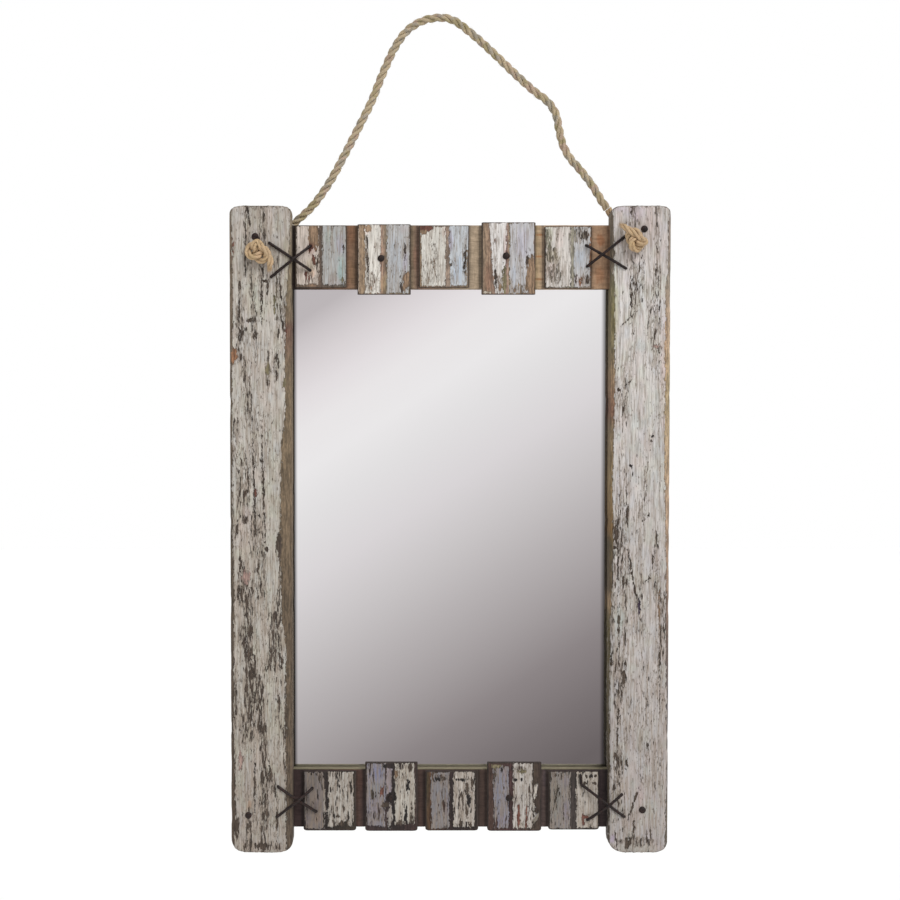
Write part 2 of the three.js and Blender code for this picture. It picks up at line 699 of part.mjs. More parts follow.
/** A screw with a flat head, whose top is the plane Y = 0. */
function countersunkScrew() {
  const shank = pointedShank(BATTEN_SCREW_RADIUS, BATTEN_SCREW_LENGTH, SCREW_TIP_LENGTH);
  const underHead = [BATTEN_SCREW_RADIUS, -BATTEN_SCREW_HEAD_DEPTH];
  const profile = [...shank.slice(0, 2), underHead, [BATTEN_SCREW_HEAD_RADIUS, 0], [0, 0]];
  return turned(profile, SCREW_SIDES);
}

/** The hole for that screw through a batten, larger all round and open behind. */
function countersink() {
  const profile = [
    [0, -BATTEN_SCREW_LENGTH],
    [BATTEN_SCREW_RADIUS + GAP, -BATTEN_SCREW_LENGTH],
    [BATTEN_SCREW_RADIUS + GAP, -BATTEN_SCREW_HEAD_DEPTH],
    [BATTEN_SCREW_HEAD_RADIUS + GAP, 0],
    [BATTEN_SCREW_HEAD_RADIUS + GAP, GAP],
    [0, GAP],
  ];
  return turned(profile, SCREW_SIDES);
}

/** A turn button and the screw that it swings on, behind a batten. */
function addTurnButton(name, side) {
  const { pivot, points } = battens[name];
  const x = SIDES[side] * BUTTON_FROM_CENTRE;
  const half = BUTTON_WIDTH / 2;
  const outline = new THREE.Shape();
  outline.absarc(0, BUTTON_TAIL - half, half, 0, Math.PI, false);
  outline.absarc(0, half - BUTTON_REACH, half, Math.PI, 2 * Math.PI, false);
  const eye = new THREE.Path();
  eye.absarc(0, 0, PIVOT_SHANK_RADIUS + GAP, 0, 2 * Math.PI, true);
  outline.holes.push(eye);
  const plate = extrudeForward(outline, BUTTON_THICKNESS, 0, { curveSegments: 8 });
  const button = add(`turn_button_${name}_${side}`, plate, zincedSteel(), [x, buttonFront, pivot]);
  if (points === "up") button.rotation.y = Math.PI;

  const shank = pointedShank(PIVOT_SHANK_RADIUS, PIVOT_SHANK_LENGTH, SCREW_TIP_LENGTH);
  const screw = turned([...shank, ...domedHead(PIVOT_HEAD_RADIUS, PIVOT_HEAD_HEIGHT)], PIVOT_SIDES);
  add(`button_screw_${name}_${side}`, screw, zincedSteel(), [x, buttonBack + GAP, pivot]);
}

for (const side of Object.keys(SIDES)) addPost(side);
for (const row of Object.keys(rails)) {
  addBoard(row);
  addSlats(row);
  rails[row].slats.forEach((slat, i) => {
    if (slat.nail) addNail(`slat_nail_${row}_${i + 1}`, slat.nail, slatFrontOf(slat), SLAT_NAIL_LENGTH);
  });
}
for (const corner of CORNER_NAMES) {
  addNail(`post_nail_${corner}`, corners[corner].nail, postFront, POST_NAIL_LENGTH);
  for (const letter of ["a", "b"]) addWire(corner, letter);
}
for (const side of Object.keys(SIDES)) addKnot(side);
addRope();
addGlass();
for (const name of Object.keys(battens)) {
  addBatten(name);
  for (const side of Object.keys(SIDES)) addTurnButton(name, side);
}

mirror.position.set(-HOOK_FROM_CENTRE, 0, -(POST_HEIGHT + HOOK_ABOVE_POSTS));
const shutterMirror = new THREE.Group();
shutterMirror.add(mirror);

export default shutterMirror;
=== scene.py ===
"""The looks of a wall mirror made of old shutter wood: two painted posts, a rail with five louvre slats
above and below the glass, wires laced over the corners, and a rope knotted on both posts.

Metres, +Z up, the mirror faces -Y and the wall is the plane Y = 0. Sizes here are written in millimetres and
turned into metres where a mesh is made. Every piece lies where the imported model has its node."""

import itertools
import math

import bpy
import numpy as np
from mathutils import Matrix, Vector


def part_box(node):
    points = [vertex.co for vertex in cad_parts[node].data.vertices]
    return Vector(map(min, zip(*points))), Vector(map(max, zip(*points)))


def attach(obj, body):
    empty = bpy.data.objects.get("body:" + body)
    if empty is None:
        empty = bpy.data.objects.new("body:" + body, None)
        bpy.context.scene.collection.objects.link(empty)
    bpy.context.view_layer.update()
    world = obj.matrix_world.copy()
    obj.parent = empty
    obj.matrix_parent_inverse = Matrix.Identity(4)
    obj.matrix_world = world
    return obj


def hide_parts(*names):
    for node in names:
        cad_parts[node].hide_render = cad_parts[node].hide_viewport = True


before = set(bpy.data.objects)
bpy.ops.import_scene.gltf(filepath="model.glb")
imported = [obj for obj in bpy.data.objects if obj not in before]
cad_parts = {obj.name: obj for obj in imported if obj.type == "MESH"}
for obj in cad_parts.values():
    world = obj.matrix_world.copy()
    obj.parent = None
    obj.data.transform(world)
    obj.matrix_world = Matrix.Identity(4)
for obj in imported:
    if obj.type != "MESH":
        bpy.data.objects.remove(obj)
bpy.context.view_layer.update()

MM = 0.001
BODY = "frame"  # all that is fixed; each turn button is a body of its own


def box_mm(node):
    """The lowest and highest corner of a node, in millimetres."""
    low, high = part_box(node)
    return np.array(low) / MM, np.array(high) / MM


SIDES = ("left", "right")
RAILS = ("top", "bottom")
POST_BOXES = {side: box_mm(f"{side}_post") for side in SIDES}
POST_FRONT = POST_BOXES["left"][0][1]
POST_TOP = POST_BOXES["left"][1][2]
POST_FOOT = POST_BOXES["left"][0][2]
INNER_EDGES = {"left": POST_BOXES["left"][1][0], "right": POST_BOXES["right"][0][0]}
MIDDLE = (INNER_EDGES["left"] + INNER_EDGES["right"]) / 2
INWARD = {"left": 1, "right": -1}  # along X, from a post to the opening
WALL = 0.0
BACKWARD = np.array([0, 1, 0])  # to the wall


# ---------- camera

CAMERA_PLACE = (-0.0462, -1.8826, -0.3187)
CAMERA_TILT = 2.43  # degrees down
FOCAL_LENGTH = 80
SENSOR_WIDTH = 36
CAMERA_SHIFT = 0.0619


def add_camera():
    """The photograph's view: level but for a slight look down, and shifted sideways as its frame is."""
    lens = bpy.data.cameras.new("camera")
    lens.lens = FOCAL_LENGTH
    lens.sensor_width = SENSOR_WIDTH
    lens.shift_x = CAMERA_SHIFT
    camera = bpy.data.objects.new("camera", lens)
    camera.location = CAMERA_PLACE
    camera.rotation_euler = (math.radians(90 - CAMERA_TILT), 0, 0)
    bpy.context.scene.collection.objects.link(camera)
    bpy.context.scene.camera = camera


add_camera()


# ---------- numbers and noise


def tone(red, green, blue):
    """A colour given as the 0 to 255 numbers of a screen, as linear light with an alpha of 1."""
    share = np.array([red, green, blue]) / 255
    linear = np.where(share <= 0.04045, share / 12.92, ((share + 0.055) / 1.055) ** 2.4)
    return tuple(float(x) for x in linear) + (1.0,)


def hashed(cells, seed):
    """A number from 0 to 1 for each lattice point: its coordinates times odd numbers, mixed by shifts."""
    key = cells.astype(np.int64).astype(np.uint64)
    mixed = key[..., 0] * np.uint64(0x9E3779B97F4A7C15)
    mixed ^= key[..., 1] * np.uint64(0xC2B2AE3D27D4EB4F)
    mixed ^= key[..., 2] * np.uint64(0x165667B19E3779F9)
    mixed += np.uint64(seed) * np.uint64(0x27D4EB2F165667C5)
    mixed ^= mixed >> np.uint64(29)
    mixed *= np.uint64(0xBF58476D1CE4E5B9)
    mixed ^= mixed >> np.uint64(32)
    return (mixed >> np.uint64(40)).astype(float) / 2**24


def smooth_noise(places, cell, seed):
    """Noise from 0 to 1: the hashed numbers at the eight lattice points round a place, blended by
    smoothstep. cell is the lattice's spacing along each axis."""
    scaled = places / np.array(cell)
    low = np.floor(scaled)
    t = scaled - low
    t = t * t * (3 - 2 * t)
    total = np.zeros(places.shape[:-1])
    for corner in itertools.product((0, 1), repeat=3):
        step = np.array(corner)
        weight = np.prod(np.where(step == 1, t, 1 - t), axis=-1)
        total += weight * hashed(low + step, seed)
    return total


def rough_noise(places, cell, seed, octaves=4):
    """Noise from 0 to 1 with finer and finer parts: each octave halves the spacing and the height."""
    cell = np.array(cell, float)
    total = np.zeros(places.shape[:-1])
    height = 1.0
    for octave in range(octaves):
        total += height * smooth_noise(places, cell / 2**octave, seed + octave)
        height /= 2
    return total / (2 - 2 * height)


def rise(value, low, high):
    """Smoothstep: 0 below low, 1 above high."""
    t = np.clip((value - low) / (high - low), 0, 1)
    return t * t * (3 - 2 * t)


def mixed(base, other, share):
    """Colours in an array, each moved towards another one by its share."""
    return base + (np.asarray(other) - base) * share[..., None]


def plain(value, places):
    """The same colour or number at all places."""
    value = np.atleast_1d(np.array(value, float))
    return np.broadcast_to(value, places.shape[:-1] + value.shape).copy()


# ---------- surfaces on a grid


def grid_faces(rows, columns, wrap_rows=False):
    """The four-sided faces of a grid whose columns close on themselves, wound so that they face outwards
    where the columns run counter-clockwise about the way that the rows go."""
    row = np.arange(rows if wrap_rows else rows - 1)[:, None]
    column = np.arange(columns)[None, :]
    next_row = (row + 1) % rows
    next_column = (column + 1) % columns
    corners = [
        row * columns + column,
        row * columns + next_column,
        next_row * columns + next_column,
        next_row * columns + column,
    ]
    return np.stack(np.broadcast_arrays(*corners), -1).reshape(-1, 4)


def closed_tube(points, values=None):
    """A grid of rows round a path as a shell: fans to their middles close its first and last rows."""
    rows, columns, _ = points.shape
    flat = points.reshape(-1, 3)
    ends = np.array([points[0].mean(0), points[-1].mean(0)])
    first, last = rows * columns, rows * columns + 1
    column = np.arange(columns)
    following = (column + 1) % columns
    top = (rows - 1) * columns
    fans = np.concatenate(
        [
            np.stack([following, column, np.full(columns, first)], -1),
            np.stack([top + column, top + following, np.full(columns, last)], -1),
        ]
    )
    closed = {}
    for key, value in (values or {}).items():
        spread = value.reshape(rows * columns, -1)
        caps = np.array([value[0].reshape(columns, -1).mean(0), value[-1].reshape(columns, -1).mean(0)])
        closed[key] = np.concatenate([spread, caps])
    return {
        "points": np.concatenate([flat, ends]),
        "quads": grid_faces(rows, columns),
        "triangles": fans,
        "values": closed,
    }


def joined(shells):
    """Several shells as one, with the faces of each counted on from the points before it."""
    starts = np.cumsum([0] + [len(shell["points"]) for shell in shells])
    keys = shells[0]["values"].keys()
    return {
        "points": np.concatenate([shell["points"] for shell in shells]),
        "quads": np.concatenate([shell["quads"] + start for shell, start in zip(shells, starts)]),
        "triangles": np.concatenate([shell["triangles"] + start for shell, start in zip(shells, starts)]),
        "values": {key: np.concatenate([shell["values"][key] for shell in shells]) for key in keys},
    }


def turned_inside_out(shell):
    """The same shell with its faces wound the other way, for a grid that was laid out mirrored."""
    return {**shell, "quads": shell["quads"][:, ::-1], "triangles": shell["triangles"][:, ::-1]}


def grid_normals(points):
    """The outward normal at each point of a grid: the cross product of its two directions."""
    around = np.roll(points, -1, axis=1) - np.roll(points, 1, axis=1)
    along = np.gradient(points, axis=0)
    normal = np.cross(around, along)
    return normal / np.maximum(np.linalg.norm(normal, axis=-1, keepdims=True), 1e-9)


def add_piece(name, shell, material, body=BODY, replaces=()):
    """A shell in millimetres as a smooth object that rides on a body and stands for nodes."""
    mesh = bpy.data.meshes.new(name)
    corners = np.concatenate([shell["quads"].ravel(), shell["triangles"].ravel()])
    sides = np.concatenate([np.full(len(shell["quads"]), 4), np.full(len(shell["triangles"]), 3)])
    starts = np.concatenate([[0], np.cumsum(sides)[:-1]])
    mesh.vertices.add(len(shell["points"]))
    mesh.vertices.foreach_set("co", (shell["points"] * MM).ravel())
    mesh.loops.add(len(corners))
    mesh.loops.foreach_set("vertex_index", corners.astype(np.int32))
    mesh.polygons.add(len(sides))
    mesh.polygons.foreach_set("loop_start", starts.astype(np.int32))
    mesh.polygons.foreach_set("use_smooth", np.ones(len(sides), bool))
    mesh.update(calc_edges=True)
    for key, value in shell["values"].items():
        if value.shape[1] == 1:
            layer = mesh.attributes.new(key, "FLOAT", "POINT")
            layer.data.foreach_set("value", value.ravel())
        else:
            layer = mesh.attributes.new(key, "FLOAT_COLOR", "POINT")
            layer.data.foreach_set("color", value.ravel())
    mesh.materials.append(material)
    piece = bpy.data.objects.new(name, mesh)
    bpy.context.scene.collection.objects.link(piece)
    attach(piece, body)
    if replaces:
        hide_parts(*replaces)
    return piece


def stand_in(node, ending, shell, material, body=BODY):
    """A piece in the place of one node, named after it."""
    return add_piece(f"{node}_{ending}", shell, material, body, [node])


# ---------- materials


class Wiring:
    """A node tree as it is put together. Each method adds a node and gives its output."""

    def __init__(self, owner):
        owner.use_nodes = True
        self.tree = owner.node_tree

    def node(self, kind, inputs=(), **settings):
        """A node with its settings and its inputs, which are numbers, colours or other nodes' outputs."""
        node = self.tree.nodes.new(kind)
        for key, value in settings.items():
            setattr(node, key, value)
        for key, value in dict(inputs).items():
            if isinstance(value, bpy.types.NodeSocket):
                self.tree.links.new(value, node.inputs[key])
            else:
                node.inputs[key].default_value = value
        return node

    def sum(self, first, second, operation="ADD"):
        """Arithmetic on two numbers."""
        return self.node("ShaderNodeMath", {0: first, 1: second}, operation=operation).outputs[0]

    def times(self, first, second):
        """The product of two numbers."""
        return self.sum(first, second, "MULTIPLY")


class Finish(Wiring):
    """A procedural material as it is put together."""

    def __init__(self, name, **constants):
        self.material = bpy.data.materials.new(name)
        super().__init__(self.material)
        self.shader = self.tree.nodes["Principled BSDF"]
        for socket, value in constants.items():
            self.shader.inputs[socket.replace("_", " ").title()].default_value = value

    def place(self, stretch=(1, 1, 1)):
        """Object coordinates in millimetres, each divided by its stretch."""
        coordinates = self.node("ShaderNodeTexCoord").outputs["Object"]
        scale = [1 / (MM * share) for share in stretch]
        return self.node("ShaderNodeMapping", {"Vector": coordinates, "Scale": scale}).outputs["Vector"]

    def noise(self, where, size, detail=4, roughness=0.55, distortion=0):
        """Noise from 0 to 1 with features of this size in millimetres."""
        inputs = {"Vector": where, "Scale": 1 / size, "Detail": detail}
        inputs.update({"Roughness": roughness, "Distortion": distortion})
        return self.node("ShaderNodeTexNoise", inputs).outputs["Fac"]

    def attribute(self, name, output="Fac"):
        """A value that the mesh carries at its points."""
        return self.node("ShaderNodeAttribute", attribute_name=name).outputs[output]

    def rise(self, value, low, high, start=0.0, end=1.0):
        """Smoothstep from start, below low, to end, above high."""
        inputs = {"Value": value, "From Min": low, "From Max": high, "To Min": start, "To Max": end}
        return self.node("ShaderNodeMapRange", inputs, interpolation_type="SMOOTHSTEP").outputs["Result"]

    def blend(self, share, first, second, way="MIX"):
        """Two colours mixed by a share."""
        colours = {0: share, 6: first, 7: second}
        return self.node("ShaderNodeMix", colours, data_type="RGBA", blend_type=way).outputs[2]

    def shade(self, colour, factor):
        """A colour times a number."""
        grey = self.node("ShaderNodeCombineColor", {"Red": factor, "Green": factor, "Blue": factor})
        return self.blend(1.0, colour, grey.outputs["Color"], "MULTIPLY")

    def done(self, colour, roughness=None, height=None, depth=0.3, metallic=None):
        """Joins what was made to the shader. depth is what a height of 1 stands for, in millimetres."""
        normal = None
        if height is not None:
            inputs = {"Height": height, "Distance": depth * MM, "Strength": 1.0}
            normal = self.node("ShaderNodeBump", inputs).outputs["Normal"]
        sockets = {"Base Color": colour, "Roughness": roughness, "Metallic": metallic, "Normal": normal}
        for socket, value in sockets.items():
            if value is not None:
                self.tree.links.new(value, self.shader.inputs[socket])
        return self.material


def rope_finish():
    """Jute: the colour that the mesh carries, speckled, with dark spots of grime, and the painted shade
    between the strands that the mesh carries too.
    """
    finish = Finish("jute")
    fine = finish.noise(finish.place(), 0.7, detail=5, roughness=0.7)
    coarse = finish.noise(finish.place(), 3.0, detail=2)
    lit = finish.rise(fine, 0.25, 0.75, 0.66, 1.28)
    colour = finish.shade(finish.attribute("thread", "Color"), finish.times(lit, finish.attribute("shade_and_tone")))
    spotted = finish.rise(coarse, 0.60, 0.72)
    colour = finish.blend(finish.times(spotted, 0.35), colour, tone(92, 78, 50))
    roughness = finish.rise(fine, 0.2, 0.8, 0.82, 0.98)
    return finish.done(colour, roughness, height=fine, depth=0.12)


# ---------- rope and knots

ROPE_FROM_WALL = 4.6
ROPE_BEND_RADIUS = 15
ROPE_END_GAP = 0.3
LAY_LENGTH = 27.0  # in which a strand goes once round the rope
STRAND_RADIUS = 1.86
STRAND_OFFSET = 2.0  # of the strands' middles from the rope's
STRAND_POINTS = 20  # across the free arc of each strand
YARNS = 9
YARN_HEIGHT = 0.13
FUZZ_HEIGHT = 0.45
STRAND_CLOSES = 0.985  # of its free arc, so that neighbours don't touch
CREASE_SHADE = 0.36  # painted shade that darkens the lines between the strands
ROPE_STEP = 0.42
FIBRE_RADIUS = 0.07
FIBRE_RINGS = 5
FIBRE_FROM_WALL = 0.1
FIBRE_TONE = 1.05
FIBRE_SIDES = 3
FIBRE_REACH = 2.4  # that a loose fibre stands off at most

# The posts' rope holes, from their inner edges and tops, and where the rope leaves the inner edges.
ROPE_ENDS = {
    "left": {"in": 29.7, "down": 42.1, "exit_down": 15.7},
    "right": {"in": 23.2, "down": 32.1, "exit_down": 1.1},
}

# The free rope between its exits: x from the mirror's middle, y from the wall, z from the posts' tops.
ROPE_ROUTE = [
    (-140.3, -4.6, -9.7),
    (-128.6, -4.7, 1.5),
    (-113.1, -4.9, 22.8),
    (-97.7, -5.2, 50.7),
    (-84.2, -5.5, 76.7),
    (-73.4, -5.8, 98.5),
    (-62.7, -6.1, 124.8),
    (-51.5, -6.5, 148.5),
    (-40.3, -6.8, 163.7),
    (-25.5, -7.0, 172.9),
    (-9.6, -7.0, 175.7),
    (2.5, -7.0, 173.4),
    (18.9, -6.8, 161.8),
    (38.8, -6.5, 144.3),
    (60.3, -6.2, 123.9),
    (78.0, -5.9, 108.2),
    (91.1, -5.7, 98.0),
    (98.2, -5.5, 87.4),
    (101.5, -5.3, 73.0),
    (104.9, -5.2, 59.1),
    (110.8, -5.0, 47.6),
    (122.6, -4.8, 33.8),
    (133.4, -4.7, 19.6),
    (141.6, -4.6, 6.3),
]

JUTE_TAN = tone(190, 172, 142)
JUTE_GOLD = tone(206, 174, 134)
# Olive, pinkish and grey, each with the height of noise at which it starts.
JUTE_PATCHES = ((tone(160, 148, 108), 0.52), (tone(188, 162, 144), 0.56), (tone(166, 158, 144), 0.55))


def rope_place(side, inward, down):
    """A place on the rope's plane behind a post, from the post's inner edge and its top."""
    return np.array([INNER_EDGES[side] - INWARD[side] * inward, -ROPE_FROM_WALL, POST_TOP - down])


def curve_through(points, steps=24):
    """A centripetal Catmull-Rom curve through the points, with straight ends: between two points it is the
    cubic with the tangents that the square roots of the chords give."""
    points = np.array(points, float)
    before = 2 * points[0] - points[1]
    after = 2 * points[-1] - points[-2]
    points = np.concatenate([[before], points, [after]])
    p0, p1, p2, p3 = points[:-3], points[1:-2], points[2:-1], points[3:]
    pairs = ((p0, p1), (p1, p2), (p2, p3))
    d0, d1, d2 = [np.sqrt(np.linalg.norm(b - a, axis=-1, keepdims=True)) for a, b in pairs]
    start = ((p1 - p0) / d0 - (p2 - p0) / (d0 + d1) + (p2 - p1) / d1) * d1
    end = ((p2 - p1) / d1 - (p3 - p1) / (d1 + d2) + (p3 - p2) / d2) * d1
    t = (np.arange(steps) / steps)[None, :, None]
    p1, p2, start, end = (value[:, None, :] for value in (p1, p2, start, end))
    curve = p1 + start * t + (3 * (p2 - p1) - 2 * start - end) * t**2
    curve = curve + (2 * (p1 - p2) + start + end) * t**3
    return np.concatenate([curve.reshape(-1, 3), points[-2:-1]])


def path_length(path):
    """The length of a line through points."""
    return float(np.linalg.norm(np.diff(path, axis=0), axis=1).sum())


def evenly_spaced(path, step):
    """The same line with points at even distances, near the step asked for."""
    lengths = np.concatenate([[0], np.cumsum(np.linalg.norm(np.diff(path, axis=0), axis=1))])
    places = np.linspace(0, lengths[-1], max(3, round(lengths[-1] / step) + 1))
    return np.stack([np.interp(places, lengths, path[:, axis]) for axis in range(3)], -1)


def softened(path, step, reach):
    """The line evenly spaced, its corners rounded by a running mean of Gaussian weights. Its ends stay."""
    even = evenly_spaced(np.array(path, float), step)
    half = math.ceil(3 * reach / step)
    weights = np.exp(-0.5 * (np.arange(-half, half + 1) * step / reach) ** 2)
    weights /= weights.sum()
    before = 2 * even[0] - even[half:0:-1]
    after = 2 * even[-1] - even[-2 : -2 - half : -1]
    padded = np.concatenate([before, even, after])
    return np.stack([np.convolve(padded[:, axis], weights, "valid") for axis in range(3)], -1)


def frames_along(path):
    """Unit tangents of a path, and two directions square to them, carried along without twisting."""
    tangent = np.gradient(path, axis=0)
    tangent /= np.linalg.norm(tangent, axis=1, keepdims=True)
    seed = np.array([0.0, 1.0, 0.0]) if abs(tangent[0][1]) < 0.8 else np.array([1.0, 0.0, 0.0])
    across = np.zeros_like(path)
    current = seed
    for step, ahead in enumerate(tangent):
        current = current - ahead * np.dot(current, ahead)
        current = current / np.linalg.norm(current)
        across[step] = current
    return tangent, across, np.cross(tangent, across)


def laid_rope(path, girth, twist_at_end, seed):
    """A rope of three strands as one closed surface round its path, and the painted shade of each point,
    which darkens the lines between the strands and the yarns' sides. Its section is three overlapping
    circles, and it turns once in each lay length. On each strand the yarns are ridges that run along the
    rope: a cosine of the angle round the strand plus a share of the way along. girth is a share of the full
    thickness, by row."""
    rows = len(path)
    girth = np.broadcast_to(np.asarray(girth, float), rows)
    along = np.linspace(0, path_length(path), rows)
    turn = 2 * math.pi * along / LAY_LENGTH
    if twist_at_end is not None:
        turn = turn - turn[-1] + twist_at_end
    meet = math.pi - math.asin(STRAND_OFFSET * math.sin(math.pi / 3) / STRAND_RADIUS) + math.pi / 3
    share = (np.arange(STRAND_POINTS) / (STRAND_POINTS - 1)) * 2 - 1
    angle = np.tile(share * meet * STRAND_CLOSES, 3)
    strand = np.repeat(np.arange(3), STRAND_POINTS)
    climb = 2 * math.pi / LAY_LENGTH * (STRAND_OFFSET + STRAND_RADIUS) / STRAND_RADIUS
    ridge = np.cos(YARNS * (angle[None, :] + climb * along[:, None]) + strand[None, :] * 1.3)
    cell = [angle[None, :] * 2 + strand * 9.0, along[:, None] * 1.3, np.float64(seed)]
    fuzz = rough_noise(np.stack(np.broadcast_arrays(*cell), -1), (0.8, 0.9, 1.0), seed + 40, 3) - 0.5
    radius = STRAND_RADIUS + YARN_HEIGHT * ridge + FUZZ_HEIGHT * fuzz
    local_x = STRAND_OFFSET + radius * np.cos(angle)
    local_y = radius * np.sin(angle)
    heading = turn[:, None] + strand * 2 * math.pi / 3
    x = (local_x * np.cos(heading) - local_y * np.sin(heading)) * girth[:, None]
    y = (local_x * np.sin(heading) + local_y * np.cos(heading)) * girth[:, None]
    _, across, up = frames_along(path)
    points = path[:, None, :] + across[:, None, :] * x[..., None] + up[:, None, :] * y[..., None]
    # Painted shade: the colour is darker towards the lines between the strands and on the sides of each yarn.
    crease = rise(np.abs(np.tile(share, 3)), 0.55, 1.0)
    return points, (1 - CREASE_SHADE * crease)[None, :] * (0.92 + 0.20 * ridge)


def jute_colours(points, golden, seed):
    """The colour of each point of a rope: tan, with olive, pinkish and grey stretches."""
    base = np.broadcast_to(np.array(JUTE_TAN), points.shape[:-1] + (4,)).copy()
    for index, (colour, low) in enumerate(JUTE_PATCHES):
        share = rise(rough_noise(points, (5.5, 5.5, 5.5), seed + 7 * index, 2), low, low + 0.12)
        base = mixed(base, colour, 0.75 * share)
    return mixed(base, JUTE_GOLD, np.full(points.shape[:-1], golden))


def rope_shell(path, girth=1.0, twist_at_end=None, golden=0.0, seed=1):
    """A laid rope with its colours, in a closed shell."""
    points, shade_and_tone = laid_rope(path, girth, twist_at_end, seed)
    light = 0.88 + 0.3 * rough_noise(points, (9, 9, 9), seed + 60, 3)
    values = {"thread": jute_colours(points, golden, seed + 80), "shade_and_tone": (shade_and_tone * light)[..., None]}
    return closed_tube(points, values)


def fibres(roots, outward, ahead, lengths, golden, seed, radius=FIBRE_RADIUS):
    """Loose fibres: from each root a thin three-sided tube that leaves at a slant and bends back along the
    rope. Its line is root + outward * (lift * s - droop * s^2) + ahead * s, with s from 0 to its length."""
    count = len(roots)
    random = np.random.default_rng(seed)
    steps = np.linspace(0, 1, FIBRE_RINGS)
    lift = random.uniform(0.35, 1.0, (count, 1, 1))
    droop = random.uniform(0.1, 0.9, (count, 1, 1))
    wander = random.uniform(-0.3, 0.3, (count, 1, 3))
    s = steps[None, :, None]
    length = lengths[:, None, None]
    lift = np.minimum(lift, FIBRE_REACH / length)
    away = outward[:, None] * (lift * s - droop * lift * s**2)
    line = roots[:, None] + length * (away + ahead[:, None] * s * 0.9 + wander * s**2 * 0.5)
    side = np.cross(outward, ahead)
    side /= np.maximum(np.linalg.norm(side, axis=1, keepdims=True), 1e-6)
    ring = np.arange(FIBRE_SIDES) * 2 * math.pi / FIBRE_SIDES
    thickness = radius * (1 - 0.7 * steps)[None, :, None, None]
    cosine, sine = np.cos(ring)[:, None], np.sin(ring)[:, None]
    points = line[:, :, None] + (side[:, None, None] * cosine + outward[:, None, None] * sine) * thickness
    points[..., 1] = np.minimum(points[..., 1], WALL - FIBRE_FROM_WALL)
    colour = mixed(np.array(JUTE_TAN), JUTE_GOLD, np.array(golden))
    values = {"thread": plain(colour, points[0]), "shade_and_tone": plain(FIBRE_TONE, points[0])}
    return joined([closed_tube(fibre, values) for fibre in points])


def fibres_on(path, count, longest, from_middle, golden, seed):
    """Loose fibres spread at random over a rope's surface, at a distance from the middle of its path."""
    random = np.random.default_rng(seed)
    tangent, across, up = frames_along(path)
    row = random.integers(4, len(path) - 4, count)
    angle = random.uniform(0, 2 * math.pi, count)[:, None]
    outward = across[row] * np.cos(angle) + up[row] * np.sin(angle)
    side = across[row] * -np.sin(angle) + up[row] * np.cos(angle)
    ahead = tangent[row] * random.choice([-1, 1], (count, 1)) * 0.8
    ahead = ahead + side * random.uniform(-0.8, 0.8, (count, 1))
    lengths = random.uniform(0.35, 1.0, count) * longest
    roots = path[row] + outward * from_middle
    return fibres(roots, outward, ahead, lengths, golden, seed + 1)


KNOT_FROM_FACE = 8.3  # the knot's middle, in front of the post
KNOT_SWING = 3.4  # the knot's line goes three times round its ring's own middle at this distance
KNOT_GIRTH = 0.82  # the rope is pulled tight in the knot
HELD_GIRTH = 0.97  # and almost whole in the post
TAIL_END_GIRTH = 0.72
KNOT_LINE = (0.30, 2 * math.pi - 0.62)  # the part of the closed trefoil that the rope follows
KNOT_POINTS = 90
FRAY_FIBRES = 110  # at a tail's end
FRAY_RADIUS = 0.11
KNOTS = {
    "left": {"ring": 6.6, "turn": 1.15, "tail": [(9.5, -3.2, -3), (11, -1.5, -10.5), (10.2, 1.5, -15.5)]},
    "right": {"ring": 5.8, "turn": 0.35, "tail": [(-6.5, -4, 7.5), (-10.5, -1.5, 11), (-13, 1.5, 12.5)]},
}


def rope_in_post(side):
    """Where the rope goes through a post, where it leaves the inner edge, and the way between the two."""
    end = ROPE_ENDS[side]
    hole = rope_place(side, end["in"], end["down"])
    exit_place = rope_place(side, 0, end["exit_down"])
    return hole, exit_place, (exit_place - hole) / np.linalg.norm(exit_place - hole)


def knot_path(side):
    """The rope from the end of its tail through an overhand knot, back through the hole in the post, round a
    quarter circle and along the groove to the post's inner edge. The knot's line is a trefoil: at t it is at
    radius ring + swing * cos(3t), angle 2t and depth swing * sin(3t), and so twice round its ring."""
    hole, exit_place, along = rope_in_post(side)
    middle = np.array([hole[0], POST_FRONT - KNOT_FROM_FACE, hole[2]])
    t = np.linspace(*KNOT_LINE, KNOT_POINTS)
    radius = KNOTS[side]["ring"] + KNOT_SWING * np.cos(3 * t)
    angle = 2 * t * INWARD[side] + KNOTS[side]["turn"]
    trefoil = np.stack([radius * np.cos(angle), -KNOT_SWING * np.sin(3 * t), radius * np.sin(angle)], -1)
    tail = [middle + np.array(offset) for offset in KNOTS[side]["tail"]][::-1]
    bend = np.linspace(0, math.pi / 2, 12)[:, None]
    bend_start = hole - BACKWARD * ROPE_BEND_RADIUS
    curve = bend_start + ROPE_BEND_RADIUS * (BACKWARD * np.sin(bend) + along * (1 - np.cos(bend)))
    inside = middle + BACKWARD * (KNOT_FROM_FACE - 1.5)
    ahead = [inside, *curve, exit_place - along * ROPE_END_GAP]
    return np.concatenate([tail, middle + trefoil, ahead])


